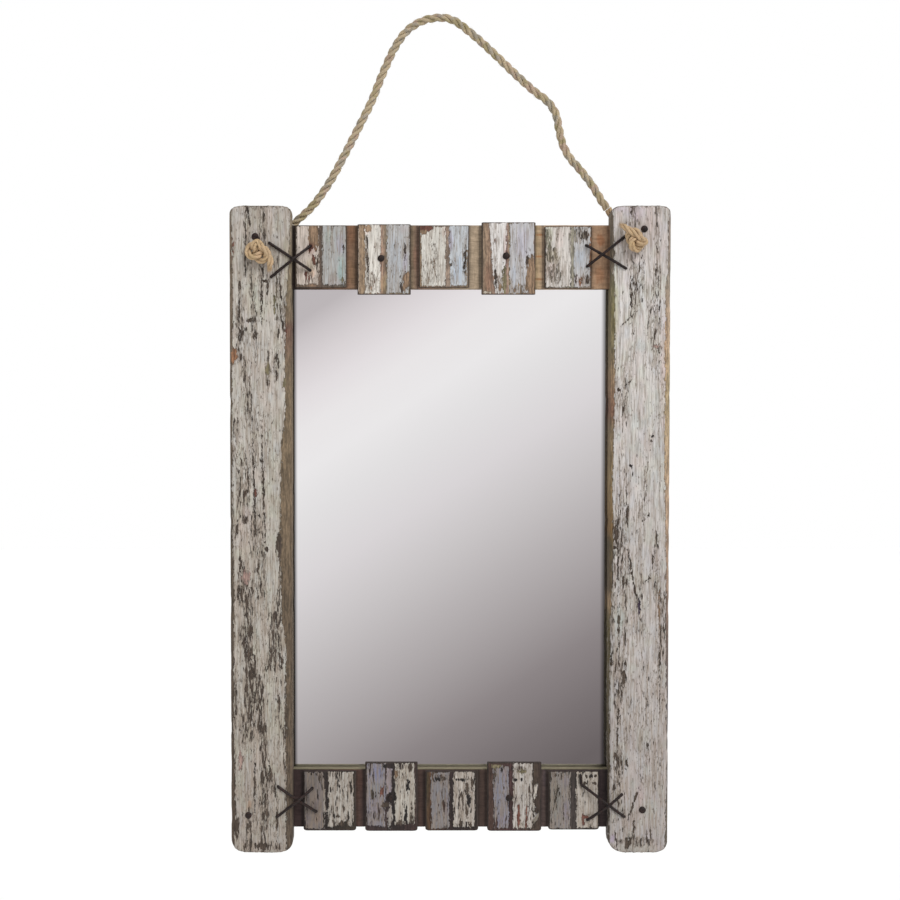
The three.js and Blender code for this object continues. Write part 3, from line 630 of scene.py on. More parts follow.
def add_knots():
    """Both knots, each with its tail, its frayed end and the rope that the post holds behind it."""
    pieces = []
    for seed, side in enumerate(SIDES):
        path = softened(knot_path(side), ROPE_STEP, 1.5)
        rows = np.arange(len(path)) * ROPE_STEP
        in_post = rise(path[:, 1], POST_FRONT - 6, POST_FRONT + 4)
        girth = KNOT_GIRTH + (HELD_GIRTH - KNOT_GIRTH) * in_post
        girth = girth * (TAIL_END_GIRTH + (1 - TAIL_END_GIRTH) * rise(rows, 0, 5))
        rope = rope_shell(path, girth, twist_at_end=0.0, golden=0.75, seed=20 + seed)
        tight = path[(rows > 8) & (path[:, 1] < POST_FRONT)]
        hairs = fibres_on(tight, count=170, longest=4.5, from_middle=2.6, golden=0.8, seed=50 + seed)
        random = np.random.default_rng(70 + seed)
        spread = random.normal(0, 1, (FRAY_FIBRES, 3))
        away = (path[0] - path[6]) / np.linalg.norm(path[0] - path[6])
        out = spread - away * (spread @ away)[:, None]
        out /= np.linalg.norm(out, axis=1, keepdims=True)
        roots = path[0] + out * random.uniform(0.3, 2.2, (FRAY_FIBRES, 1)) - away * 1.2
        lengths = random.uniform(3.0, 7.0, FRAY_FIBRES)
        ahead = np.tile(away, (FRAY_FIBRES, 1))
        brush = fibres(roots, out * 0.55, ahead, lengths, golden=0.9, seed=90 + seed, radius=FRAY_RADIUS)
        pieces.append(stand_in(f"rope_knot_{side}", "laid", joined([rope, hairs, brush]), JUTE))
    return pieces


def add_hanging_rope(knots):
    """The free rope over the hook, from one post's inner edge to the other's."""
    exits = {side: rope_in_post(side)[1] for side in SIDES}
    route = [(MIDDLE + x, y, POST_TOP + z) for x, y, z in ROPE_ROUTE]
    path = evenly_spaced(curve_through([exits["left"], *route, exits["right"]]), ROPE_STEP)
    hairs = fibres_on(path, count=620, longest=5.5, from_middle=3.3, golden=0.2, seed=5)
    shell = joined([rope_shell(path, seed=3), hairs])
    rope = stand_in("hanging_rope", "laid", shell, JUTE)
    path_length(path) * MM


JUTE = rope_finish()
add_hanging_rope(add_knots())


# ---------- boards


def rounded_loop(corners, rounds, steps, arc_steps=3):
    """A closed loop through corners, given counter-clockwise: each corner is a quarter circle of its radius,
    and the side after it is divided into its number of equal steps."""
    corners = np.array(corners, float)
    loop = []
    for index, (corner, radius) in enumerate(zip(corners, rounds)):
        following = (index + 1) % len(corners)
        before = corner - corners[index - 1]
        after = corners[following] - corner
        before /= np.linalg.norm(before)
        after /= np.linalg.norm(after)
        quarter = np.linspace(0, math.pi / 2, arc_steps + 1)[:, None]
        middle = corner + radius * (after - before)
        loop.append(middle - radius * after * np.cos(quarter) + radius * before * np.sin(quarter))
        start = corner + radius * after
        end = corners[following] - rounds[following] * after
        share = np.arange(1, steps[index])[:, None] / steps[index]
        loop.append(start + (end - start) * share)
    return np.concatenate(loop)


def box_loop(low, high, axis, rounds, steps):
    """The rounded section of a box across one axis, with Y as its depth. The first side is the front."""
    corners = [(low[axis], low[1]), (high[axis], low[1]), (high[axis], high[1]), (low[axis], high[1])]
    return rounded_loop(corners, rounds, steps)


def rows_along(low, high, spacing, end_zone, end_rows):
    """Places along a board: even, but crowded towards both ends as the cosine of even angles."""
    crowd = end_zone * (1 - np.cos(np.linspace(0, math.pi / 2, end_rows + 1)))
    steps = max(2, round((high - low - 2 * end_zone) / spacing))
    middle = np.linspace(low + end_zone, high - end_zone, steps + 1)
    return np.concatenate([low + crowd[:-1], middle, high - crowd[:-1][::-1]])


CAP_SHRINK = (0.8, 0.5, 0.2)  # of the rings that close a board's end


def board_grid(loop, rows, end_round, narrowing=None, thinning=None):
    """A board as its section's loop (across, deep) carried along its length. Each row's loop is drawn in
    towards its middle by a quarter circle at both ends, and by what narrowing and thinning give: the low and
    high limits across, and the depth of the back, at each point. Smaller and smaller rings close the ends."""
    low, high = loop.min(0), loop.max(0)
    share = (loop - low) / (high - low)
    inset = corner_cut(end_round, np.minimum(rows - rows[0], rows[-1] - rows))
    left, right = (np.full(len(rows), low[0]), np.full(len(rows), high[0]))
    if narrowing is not None:
        left, right = narrowing(rows)
    across = (left + inset)[:, None] + (right - left - 2 * inset)[:, None] * share[None, :, 0]
    deep = (low[1] + inset)[:, None] + (high[1] - low[1] - 2 * inset)[:, None] * share[None, :, 1]
    along = np.broadcast_to(rows[:, None], across.shape)
    if thinning is not None:
        back = thinning(across, along)
        deep = low[1] + (deep - low[1]) * (back - low[1]) / (high[1] - low[1])
    grid = np.stack([across, deep, along], -1)
    first, last = grid[0], grid[-1]
    caps = [np.array([1, 1, 0]) * (1 - shrink) * ring.mean(0) + ring * np.array([shrink, shrink, 1])
            for ring in (first, last) for shrink in CAP_SHRINK]
    count = len(CAP_SHRINK)
    return np.concatenate([np.array(caps[:count])[::-1], grid, np.array(caps[count:])])


def board_shell(grid, look, lying=False):
    """A board's grid with its relief and colours. look takes the places and the way that they face, and gives
    the depth of each place under the whole surface and the values that the material reads. A lying board runs
    along X, so its across is height."""
    points = grid[..., [2, 1, 0]] if lying else grid
    normals = grid_normals(points)
    if lying:
        normals = -normals
    depth, values = look(points, normals)
    shell = closed_tube(points - normals * depth[..., None], values)
    return turned_inside_out(shell) if lying else shell


def corner_cut(radius, from_end):
    """How far a corner rounded by a radius cuts in, at a distance from the end."""
    short = np.clip(radius - from_end, 0, radius)
    return radius - np.sqrt(radius**2 - short**2)


POST_EDGE_ROUND = 4.0
POST_CORNERS = {
    "left": {"foot": (13, 12), "top": (8, 8)},
    "right": {"foot": (14, 11), "top": (9, 7)},
}  # radii in front view, on the left and on the right
REBATE_WIDTH = 8.0
REBATE_FRONT = box_mm("top_rail_board")[1][1]
GROOVE_HALF_WIDTH = 4.05
GROOVE_FLOOR = -(ROPE_FROM_WALL + GROOVE_HALF_WIDTH)
POST_SPACING = 1.1
POST_FULLER = {"left": (1.5, 0.6), "right": (0.0, 0.0)}  # the left post's edges stand out a little more
POST_FOOT_LOWER = 2.0  # as do both feet
# Of the left post's section, from its outer front edge on: the corners' radii, and the steps after each.
POST_ROUNDS = [POST_EDGE_ROUND, POST_EDGE_ROUND, 0.8, 0.3, 0.8, 1.5]
POST_STEPS = [66, 16, 5, 7, 40, 16]


def post_loop(side):
    """A post's section: worn round front edges, and a rebate for the glass at the inner back edge. The left
    post's corners start at its outer front edge, and the right post's are the same mirrored."""
    low, high = POST_BOXES[side]
    outer, inner = (low[0], high[0]) if side == "left" else (high[0], low[0])
    step = inner - INWARD[side] * REBATE_WIDTH
    corners = [(outer, POST_FRONT), (inner, POST_FRONT), (inner, REBATE_FRONT), (step, REBATE_FRONT)]
    corners += [(step, WALL), (outer, WALL)]
    rounds = POST_ROUNDS
    steps = POST_STEPS
    if side == "right":
        corners = corners[1::-1] + corners[:1:-1]
        rounds = rounds[1::-1] + rounds[:1:-1]
        steps = steps[:1] + steps[:0:-1]
    return rounded_loop(corners, rounds, steps)


def post_narrowing(side):
    """The post's left and right edge at each height: rounded corners at both ends, and a worn, wavy line."""
    low, high = POST_BOXES[side]
    foot, top = POST_CORNERS[side]["foot"], POST_CORNERS[side]["top"]

    def edges(rows):
        wear = []
        for index in range(2):
            where = np.stack([np.full(len(rows), 40.0 * index), np.zeros(len(rows)), rows], -1)
            worn = 0.5 * rise(rough_noise(where, (20, 20, 16), 300 + index, 4), 0.45, 0.9)
            round_cut = corner_cut(foot[index], rows - rows[0]) + corner_cut(top[index], POST_TOP - rows)
            wear.append(worn + round_cut - POST_FULLER[side][index])
        return low[0] + wear[0], high[0] - wear[1]

    return edges


def groove_behind(side):
    """The depth of the post's back: at the wall, but for the round-bottomed groove that leads the rope from
    its hole to the inner edge, and the hole itself."""
    hole, _, along = rope_in_post(side)

    def back(across, height):
        x, z = across - hole[0], height - hole[2]
        forward = x * along[0] + z * along[2]
        aside = np.abs(x * along[2] - z * along[0])
        reach = np.where(forward < 0, np.hypot(x, z), aside)
        round_floor = GROOVE_HALF_WIDTH - np.sqrt(np.clip(GROOVE_HALF_WIDTH**2 - reach**2, 0, None))
        return np.where(reach < GROOVE_HALF_WIDTH, GROOVE_FLOOR + round_floor, WALL)

    return back


# ---------- paint and wear

DEEPEST_COVER = 3.0  # the farthest that a place is counted as inside the paint's line, or outside it
# What shows where the paint is gone.
BARE = {
    "dark": tone(76, 64, 54),
    "black": tone(36, 30, 28),
    "brown": tone(142, 117, 94),
    "tan": tone(168, 146, 120),
    "olive": tone(124, 114, 88),
    "rust": tone(146, 106, 78),
    "red": tone(112, 72, 60),
    "pink": tone(168, 142, 132),
    "violet": tone(62, 46, 66),
    "grain": tone(134, 118, 102),
    "speck": tone(104, 92, 80),
}
# What dirt, rust and thin second coats multiply a colour by.
TINTS = {
    "teal": (0.68, 1.02, 0.98),
    "blue": (0.84, 0.98, 1.16),
    "indigo": (0.74, 0.82, 1.25),
    "lilac": (0.95, 0.86, 1.16),
    "green": (0.86, 1.0, 0.80),
    "olive": (0.80, 0.76, 0.50),
    "pink": (1.02, 0.82, 0.80),
    "red": (0.62, 0.34, 0.30),
    "rust": (0.84, 0.50, 0.28),
}


def along_stops(value, stops):
    """Colours between those of the stops, each a value and its colour."""
    places = [place for place, _ in stops]
    colours = [tone(*colour) for _, colour in stops]
    return np.stack([np.interp(value, places, [colour[i] for colour in colours]) for i in range(4)], -1)


def line_at(value, stops):
    """Numbers between those of the stops."""
    return np.interp(value, [place for place, _ in stops], [number for _, number in stops])


def tinted(colours, tint, share):
    """Colours in an array, each multiplied by a tint as far as its share says."""
    return colours * (1 + share[..., None] * (np.array(TINTS[tint] + (1.0,)) - 1))


def ragged_noise(places, cell, seed):
    """Noise from -1 to 1, which makes the paint's lines ragged."""
    return 2 * (rough_noise(places, cell, seed, 3) - 0.5)


def weathered(across, down, paint, look, ragged):
    """Puts a board's own marks on its paint, one kind after the other."""

    def reach(middle, height, half_across, half_down, lean=0.0):
        """How far in an oval each place is, as a share: 1 in its middle, 0 on its line, negative outside. The
        oval's axis leans across by the slope for each millimetre down."""
        aside = across - middle - lean * (down - height)
        return 1 - np.hypot(aside / half_across, (down - height) / half_down)

    def worn(middle, height, half_across, half_down, density):
        """A place with more small flakes."""
        inside = rise(reach(middle, height, half_across, half_down) + 0.4 * ragged, 0.0, 0.5)
        paint["wear"] = np.maximum(paint["wear"], density * inside)

    def drip(middle, height, half_across, half_down, colour, lean=0.0):
        """Paint on bare wood."""
        depth = reach(middle, height, half_across, half_down, lean) * min(half_across, half_down)
        depth = depth + 0.5 * ragged
        paint["coat"] = mixed(paint["coat"], tone(*colour), rise(depth, -0.6, -0.1))
        paint["cover"] = np.maximum(paint["cover"], depth)

    def bare(middle, height, half_across, half_down, kind="dark", lean=0.0):
        """A bare place of one kind, whose depth is counted in millimetres from its line."""
        half = min(half_across, half_down)
        depth = reach(middle, height, half_across, half_down, lean) * half
        depth = depth + min(0.3 + 0.5 * half, 1.8) * ragged
        chosen = rise(depth - np.maximum(-paint["cover"], -1.2), 0.0, 0.3)
        paint["under"] = mixed(paint["under"], BARE[kind], chosen)
        paint["cover"] = np.minimum(paint["cover"], -depth)

    def stain(middle, height, half_across, half_down, tint, strength):
        """A tint on all there is."""
        share = strength * rise(reach(middle, height, half_across, half_down) + 0.5 * ragged, 0.0, 0.6)
        for layer in ("coat", "under"):
            paint[layer] = tinted(paint[layer], tint, share)

    for kind, put in {"worn": worn, "drips": drip, "marks": bare, "stains": stain}.items():
        for mark in look.get(kind, ()):
            put(*mark)


def painted(paint):
    """How deep each place lies, bare wood under the coat, and the paint's values for the material."""
    paint["cover"] = np.clip(paint["cover"], -DEEPEST_COVER, DEEPEST_COVER)
    values = {"coat": paint["coat"], "under": paint["under"]}
    values.update({key: paint[key][..., None] for key in ("cover", "wear")})
    return 0.35 * (1 - rise(paint["cover"], -0.3, 0.3)), values


def painted_finish(name, flake_size):
    """Old flaking paint over wood. The mesh says how far each place is from a bare one, in millimetres, and
    how densely small flakes are lost. Noise stretched along the grain gives the flakes, the small specks and
    the thin places where wood shows through, the brush's streaks and the marks' ragged lines."""
    finish = Finish(name)
    flakes = finish.noise(finish.place((1, 1, 6)), flake_size, detail=5, roughness=0.62)
    specks = finish.noise(finish.place((1, 1, 3.4)), 0.72 * flake_size, detail=4, roughness=0.7)
    edge = finish.noise(finish.place((1, 1, 3)), 1.5, detail=5, roughness=0.65)
    streaks = finish.noise(finish.place((1, 1, 14)), 1.3, detail=5, roughness=0.65)
    hairs = finish.noise(finish.place((1, 1, 24)), 0.7, detail=3)
    mottle = finish.noise(finish.place((1, 1, 2)), 4.5, detail=5, roughness=0.6)
    wear = finish.attribute("wear")
    placed = finish.sum(finish.attribute("cover"), finish.times(finish.sum(edge, -0.5), 7.0))
    limit = finish.sum(0.72, finish.times(wear, -0.22))
    spread = finish.times(finish.sum(limit, flakes, "SUBTRACT"), 10.0)
    cover = finish.sum(placed, spread, "MINIMUM")
    coated = finish.rise(cover, -0.14, 0.14)
    # rim: painted shadow, a dark band on the bare wood just outside the paint's edge, where the edge would
    # shade it.
    rim = finish.times(finish.rise(cover, -0.9, -0.1), finish.sum(1.0, coated, "SUBTRACT"))
    worn_streaks = finish.sum(streaks, finish.times(wear, 0.09))
    thin = finish.rise(worn_streaks, 0.46, 0.64, 0.0, 0.62)
    speckled = finish.rise(finish.sum(specks, finish.times(wear, 0.13)), 0.60, 0.68, 0.0, 0.78)
    coat = finish.blend(thin, finish.attribute("coat", "Color"), BARE["grain"])
    coat = finish.blend(speckled, coat, BARE["speck"])
    light = finish.times(finish.rise(hairs, 0.3, 0.7, 0.84, 1.16), finish.rise(mottle, 0.3, 0.7, 0.93, 1.06))
    coat = finish.shade(coat, light)
    under = finish.shade(finish.attribute("under", "Color"), finish.rise(streaks, 0.36, 0.64, 0.6, 1.3))
    under = finish.shade(under, finish.rise(specks, 0.4, 0.62, 1.12, 0.72))
    # The bare wood is darkened by the painted shadow along the paint's edges.
    under = finish.shade(under, finish.rise(rim, 0.0, 1.0, 1.0, 0.55))
    colour = finish.blend(coated, under, coat)
    roughness = finish.rise(coated, 0.0, 1.0, 0.93, 0.74)
    height = finish.sum(finish.sum(coated, finish.times(streaks, 0.5)), finish.times(speckled, -0.5))
    return finish.done(colour, roughness, height=height, depth=0.22)


# The posts' paint from top to foot, the line where it ends on each side, and the wood's colour there. Then
# its marks: the middle across from the left edge and down from the top, the halves across and down, and the
# density of a worn place, the kind of a bare one ("dark" unless given) and its lean, or a stain's tint and
# strength.
POST_LOOKS = {
    "left": {
        "wear": 0.18,
        "coat": [
            (0, (182, 174, 166)), (60, (186, 180, 171)), (130, (190, 184, 176)), (340, (178, 172, 162)),
            (480, (172, 165, 155)), (600, (160, 152, 144)),
        ],
        "from": [
            (0, 0.6), (80, 1.8), (140, 1), (300, 0.8), (360, 2.6), (480, 0.8), (560, 3.4), (600, 1.6),
        ],
        "to": [
            (0, 55), (60, 53.5), (85, 51), (110, 50), (135, 50), (190, 50), (222, 46.5), (300, 45),
            (385, 46.5), (405, 50), (520, 50.4), (600, 50),
        ],
        "first_margin": [(0, (126, 110, 92)), (300, (96, 84, 70)), (600, (84, 70, 58))],
        "last_margin": [
            (0, (140, 126, 110)), (75, (126, 112, 90)), (105, (124, 106, 86)), (112, (116, 88, 74)),
            (150, (116, 100, 80)), (170, (124, 107, 85)), (290, (116, 99, 79)), (360, (100, 85, 68)),
            (600, (90, 77, 64)),
        ],
        "worn": [
            (12.5, 149, 3.3, 20, 1), (34, 150, 3.5, 23, 0.95), (41.8, 148, 3.9, 24, 0.9),
            (3.2, 302, 3.7, 12, 0.9), (10.2, 352, 7.9, 29, 1), (27.1, 319, 3.7, 14, 0.9),
            (9.7, 399, 6, 16, 0.9), (35.1, 419, 3.7, 18, 0.9), (11.1, 484, 3.3, 23, 1),
            (36.5, 534, 6, 20, 0.85), (3.7, 574, 3.7, 17, 1), (28.6, 595, 27.8, 6, 0.9),
            (28.6, 1, 27.8, 3, 0.7), (24.9, 218, 18.5, 56, 0.45), (17.5, 459, 20.4, 56, 0.55),
            (-0.5, 116, 2.3, 56, 0.9), (0.9, 329, 3.2, 84, 0.8), (45.2, 367, 2.8, 102, 0.85),
            (50.8, 515, 3.7, 74, 0.7), (0.9, 515, 3.2, 65, 0.8), (23, 370, 6, 60, 0.5),
            (30, 560, 22, 40, 0.5), (12, 262, 10, 50, 0.8), (20, 300, 6, 40, 0.75), (5, 215, 6, 34, 0.7),
        ],
        "marks": [
            (1.7, 40, 1.4, 7, "red"), (2.6, 138, 3.4, 7, "rust"), (-0.4, 102, 1.5, 23),
            (30.9, 70, 3.5, 1), (28.5, 85, 0.9, 16.7), (34, 75, 0.9, 5.6),
            (18, 106, 3.3, 2, "dark", -0.6), (13.8, 114, 1.3, 1.7), (11.1, 118, 1.2, 2.2),
            (34.2, 153, 1.6, 5.1, "olive"), (52.6, 122, 2.4, 21, "red"), (50.8, 164, 2.8, 4.6, "olive"),
            (29.9, 264, 0.9, 38, "dark", 0.03), (21.2, 258, 0.8, 31, "dark", 0.03),
            (22.6, 265, 2, 4.3, "red"), (26.2, 286, 1.3, 1.3), (13.7, 343, 3.1, 5.1, "pink"),
            (32.8, 318, 1.5, 2.5), (44.6, 314, 3.2, 11.6), (18.5, 432, 2.1, 8.4), (46.2, 423, 1.6, 6),
            (49.9, 480, 1, 35), (7.8, 515, 2, 7.4, "pink"), (20.9, 535, 0.9, 21), (5.5, 298, 1.2, 6.5),
            (8.3, 331, 1.5, 5.6), (6, 357, 1.2, 8.4), (13.8, 367, 1.4, 7.4, "dark", 0.1),
            (40.6, 88, 0.9, 11, "olive"), (36.5, 418, 1.1, 7.4), (11.1, 404, 1.4, 7.4),
            (34.6, 524, 1.1, 5.6), (39.7, 543, 1.2, 4.6), (4.6, 576, 1.5, 8.4), (28.6, 595, 5.6, 2.8),
            (41.5, 571, 0.9, 13),
        ],
        "stains": [
            (20, 85, 9, 32, "green", 0.25), (43, 93, 6, 19, "green", 0.2), (16, 556, 3, 8, "rust", 0.6),
            (52, 50, 4, 30, "olive", 0.4), (13, 300, 8, 60, "pink", 0.25),
        ],
    },
    "right": {
        "wear": 0,
        "coat": [
            (0, (198, 190, 187)), (70, (204, 199, 195)), (130, (204, 199, 195)), (330, (187, 181, 177)),
            (600, (168, 161, 157)),
        ],
        "from": [
            (0, 2), (100, 4), (160, 4.5), (200, 4), (250, 2.5), (300, 3.5), (345, 3), (400, -0.5),
            (600, 0.6),
        ],
        "to": [
            (0, 53.5), (60, 52.5), (80, 50.5), (250, 50.5), (300, 52), (460, 54), (520, 55), (600, 53),
        ],
        "first_margin": [
            (0, (124, 110, 94)), (60, (124, 112, 96)), (75, (128, 120, 92)), (130, (134, 122, 94)),
            (157, (152, 128, 100)), (190, (132, 98, 80)), (205, (136, 118, 94)), (255, (152, 130, 96)),
            (300, (132, 104, 68)), (312, (96, 84, 62)), (356, (108, 92, 72)), (368, (176, 148, 116)),
            (384, (112, 100, 66)), (600, (84, 72, 60)),
        ],
        "last_margin": [
            (0, (130, 116, 106)), (70, (150, 138, 124)), (90, (178, 156, 134)), (130, (184, 158, 130)),
            (165, (166, 148, 116)), (280, (176, 150, 126)), (370, (140, 118, 104)), (460, (92, 84, 86)),
            (600, (96, 86, 72)),
        ],
        "worn": [
            (2.8, 357, 4.6, 111, 0.8), (12, 329, 5.6, 46, 0.8), (9.2, 441, 7.4, 56, 0.8),
            (9.2, 520, 8.3, 28, 0.85), (27.7, 591, 25.9, 7, 0.85), (7.4, 552, 7.4, 28, 0.7),
            (27.7, 1, 25.9, 3, 0.6), (13.8, 274, 5.6, 46, 0.6), (7.4, 181, 5.6, 37, 0.55),
            (46.2, 413, 4.6, 84, 0.5), (32.3, 478, 13, 84, 0.35), (25.9, 376, 9, 37, 0.5),
            (46.2, 162, 3.7, 56, 0.45), (2.8, 88, 2.8, 56, 0.5), (13.8, 28, 7.4, 23, 0.5),
            (9, 300, 6, 50, 0.75), (14, 400, 6, 60, 0.6), (24, 470, 8, 50, 0.35),
        ],
        "marks": [
            (19.1, 84, 0.8, 15), (17.5, 104, 0.8, 4.8, "dark", -1.1), (42.5, 130, 2.8, 1.1, "pink"),
            (44.9, 133, 0.9, 2.8), (18.5, 162, 0.8, 3.5, "dark", -1), (8.3, 170, 1.3, 1.4),
            (38.8, 213, 1.4, 1.5, "black"), (37.9, 219, 0.6, 4.2, "dark", -0.15),
            (19.4, 240, 1.4, 1.4, "black"), (20.9, 245, 0.6, 3.7, "dark", 0.2),
            (36, 286, 0.9, 2.2, "dark", -0.2), (32.8, 290, 0.7, 2.4, "dark", -1.6), (16.4, 283, 1, 9.3),
            (21.1, 340, 1.1, 23, "dark", 0.18), (28.1, 371, 1.5, 6, "violet"),
            (36.9, 344, 0.8, 2.2, "dark", -0.3), (33.7, 347, 0.7, 2, "dark", -1.6), (8.9, 390, 1, 16),
            (14.3, 436, 1.6, 8.4), (36.9, 437, 0.9, 3.2, "dark", 0.2), (8.8, 470, 1.6, 4.6),
            (8.3, 492, 0.7, 17), (36.6, 500, 1.4, 3.3), (16.6, 518, 1.3, 5.6), (6.5, 510, 1.5, 4.2),
            (2.8, 524, 1.1, 3.7), (24.7, 551, 0.9, 14, "dark", -0.33), (39.3, 582, 1, 4.5),
            (18.5, 592, 3.1, 4.8), (7.4, 589, 0.9, 8.4, "dark", 0.1), (6.5, 302, 2.4, 8.8),
            (2.4, 333, 0.9, 18), (7.9, 335, 0.9, 15), (5.2, 316, 2.4, 1.3), (0.3, 192, 1, 6.5, "red"),
            (40.1, 328, 0.8, 4.6), (46.2, 370, 0.8, 13, "brown"), (47.1, 422, 0.8, 15),
            (24, 579, 0.8, 6.5), (2.8, 418, 0.9, 8.4), (12, 450, 1.1, 7.4, "dark", 0.1),
        ],
        "stains": [
            (4, 100, 5, 35, "olive", 0.5), (49, 150, 4, 70, "pink", 0.4), (38, 30, 20, 34, "pink", 0.18),
            (30, 545, 5, 14, "pink", 0.5), (4, 588, 4, 6, "lilac", 0.8), (24, 8, 12, 8, "lilac", 0.25),
            (10, 3, 14, 4, "lilac", 0.35), (10, 380, 6, 12, "teal", 0.3), (4, 90, 4, 50, "green", 0.25),
        ],
    },
}
POST_MIDDLE = 28.0
OUTER_SIDE = 170  # from the mirror's middle to where only the posts' outer sides are


def post_look(side):
    """The post's paint: its front and sides are painted, its back is bare, and its sides are more worn."""
    low, _ = POST_BOXES[side]
    look = POST_LOOKS[side]

    def paint_at(places, facing):
        across, down = places[..., 0] - low[0], POST_TOP - places[..., 2]
        ragged = ragged_noise(places, (2.2, 2.2, 6.0), 400)
        columns = rough_noise(places, (7, 7, 70), 410, 3)
        turned = 1 - rise(-facing[..., 1], 0.35, 0.9)
        margin = np.minimum(across - line_at(down, look["from"]), line_at(down, look["to"]) - across)
        cover = np.minimum(margin + 1.3 * ragged, DEEPEST_COVER)
        cover = np.minimum(cover, 1.6 - 2.2 * turned + 2.0 * ragged)
        edges = np.where((across < POST_MIDDLE)[..., None], along_stops(down, look["first_margin"]),
                         along_stops(down, look["last_margin"]))
        outer_side = rise(np.abs(facing[..., 0]), 0.9, 1.0) * (np.abs(places[..., 0] - MIDDLE) > OUTER_SIDE)
        edges = mixed(edges, BARE["brown"], 0.65 * outer_side)
        under = mixed(plain(BARE["dark"], places), edges, np.maximum(rise(-margin, -1.6, -0.2), turned))
        coat = along_stops(down, look["coat"])
        coat = coat * (1 + 0.05 * ragged_noise(places, (5, 5, 30), 420)[..., None])
        for index, tint in enumerate(("green", "pink", "blue")):
            share = 0.22 * rise(rough_noise(places, (7, 7, 12), 430 + 9 * index, 3), 0.48, 0.72)
            coat = tinted(coat, tint, share)
        wear = look["wear"] + 0.72 * rise(columns, 0.44, 0.72) + 0.35 * turned
        wear = wear + 0.12 * rise(down, 280, 420)
        paint = {"coat": coat, "under": under, "cover": cover, "wear": np.clip(wear, 0, 1)}
        weathered(across, down, paint, look, ragged)
        bare_back = rise(facing[..., 1], 0.3, 0.7)
        paint["cover"] = paint["cover"] * (1 - bare_back) - DEEPEST_COVER * bare_back
        paint["under"] = mixed(paint["under"], BARE["brown"], bare_back)
        return painted(paint)

    return paint_at


def add_posts():
    """Both posts."""
    for side in SIDES:
        rows = rows_along(POST_FOOT - POST_FOOT_LOWER, POST_TOP, POST_SPACING, end_zone=14.5, end_rows=18)
        grid = board_grid(post_loop(side), rows, POST_EDGE_ROUND, post_narrowing(side), groove_behind(side))
        stand_in(f"{side}_post", "worn", board_shell(grid, post_look(side)), POST_PAINT)


POST_PAINT = painted_finish("flaked_post_paint", 1.9)
add_posts()


# ---------- slats

SLAT_EDGE_ROUND = 1.8
SLAT_SPACING = 0.7
SLAT_CROWN = 0.8  # the slat's front is fuller in its middle
SLAT_END_ROUND = 0.8
SLAT_FOOT_ROUND = {"top": 0.6, "bottom": 2.6}
SLATS_PER_RAIL = 5
SLAT_FULLER = {"top_slat_1": 1.0}  # the paint stands out to the left

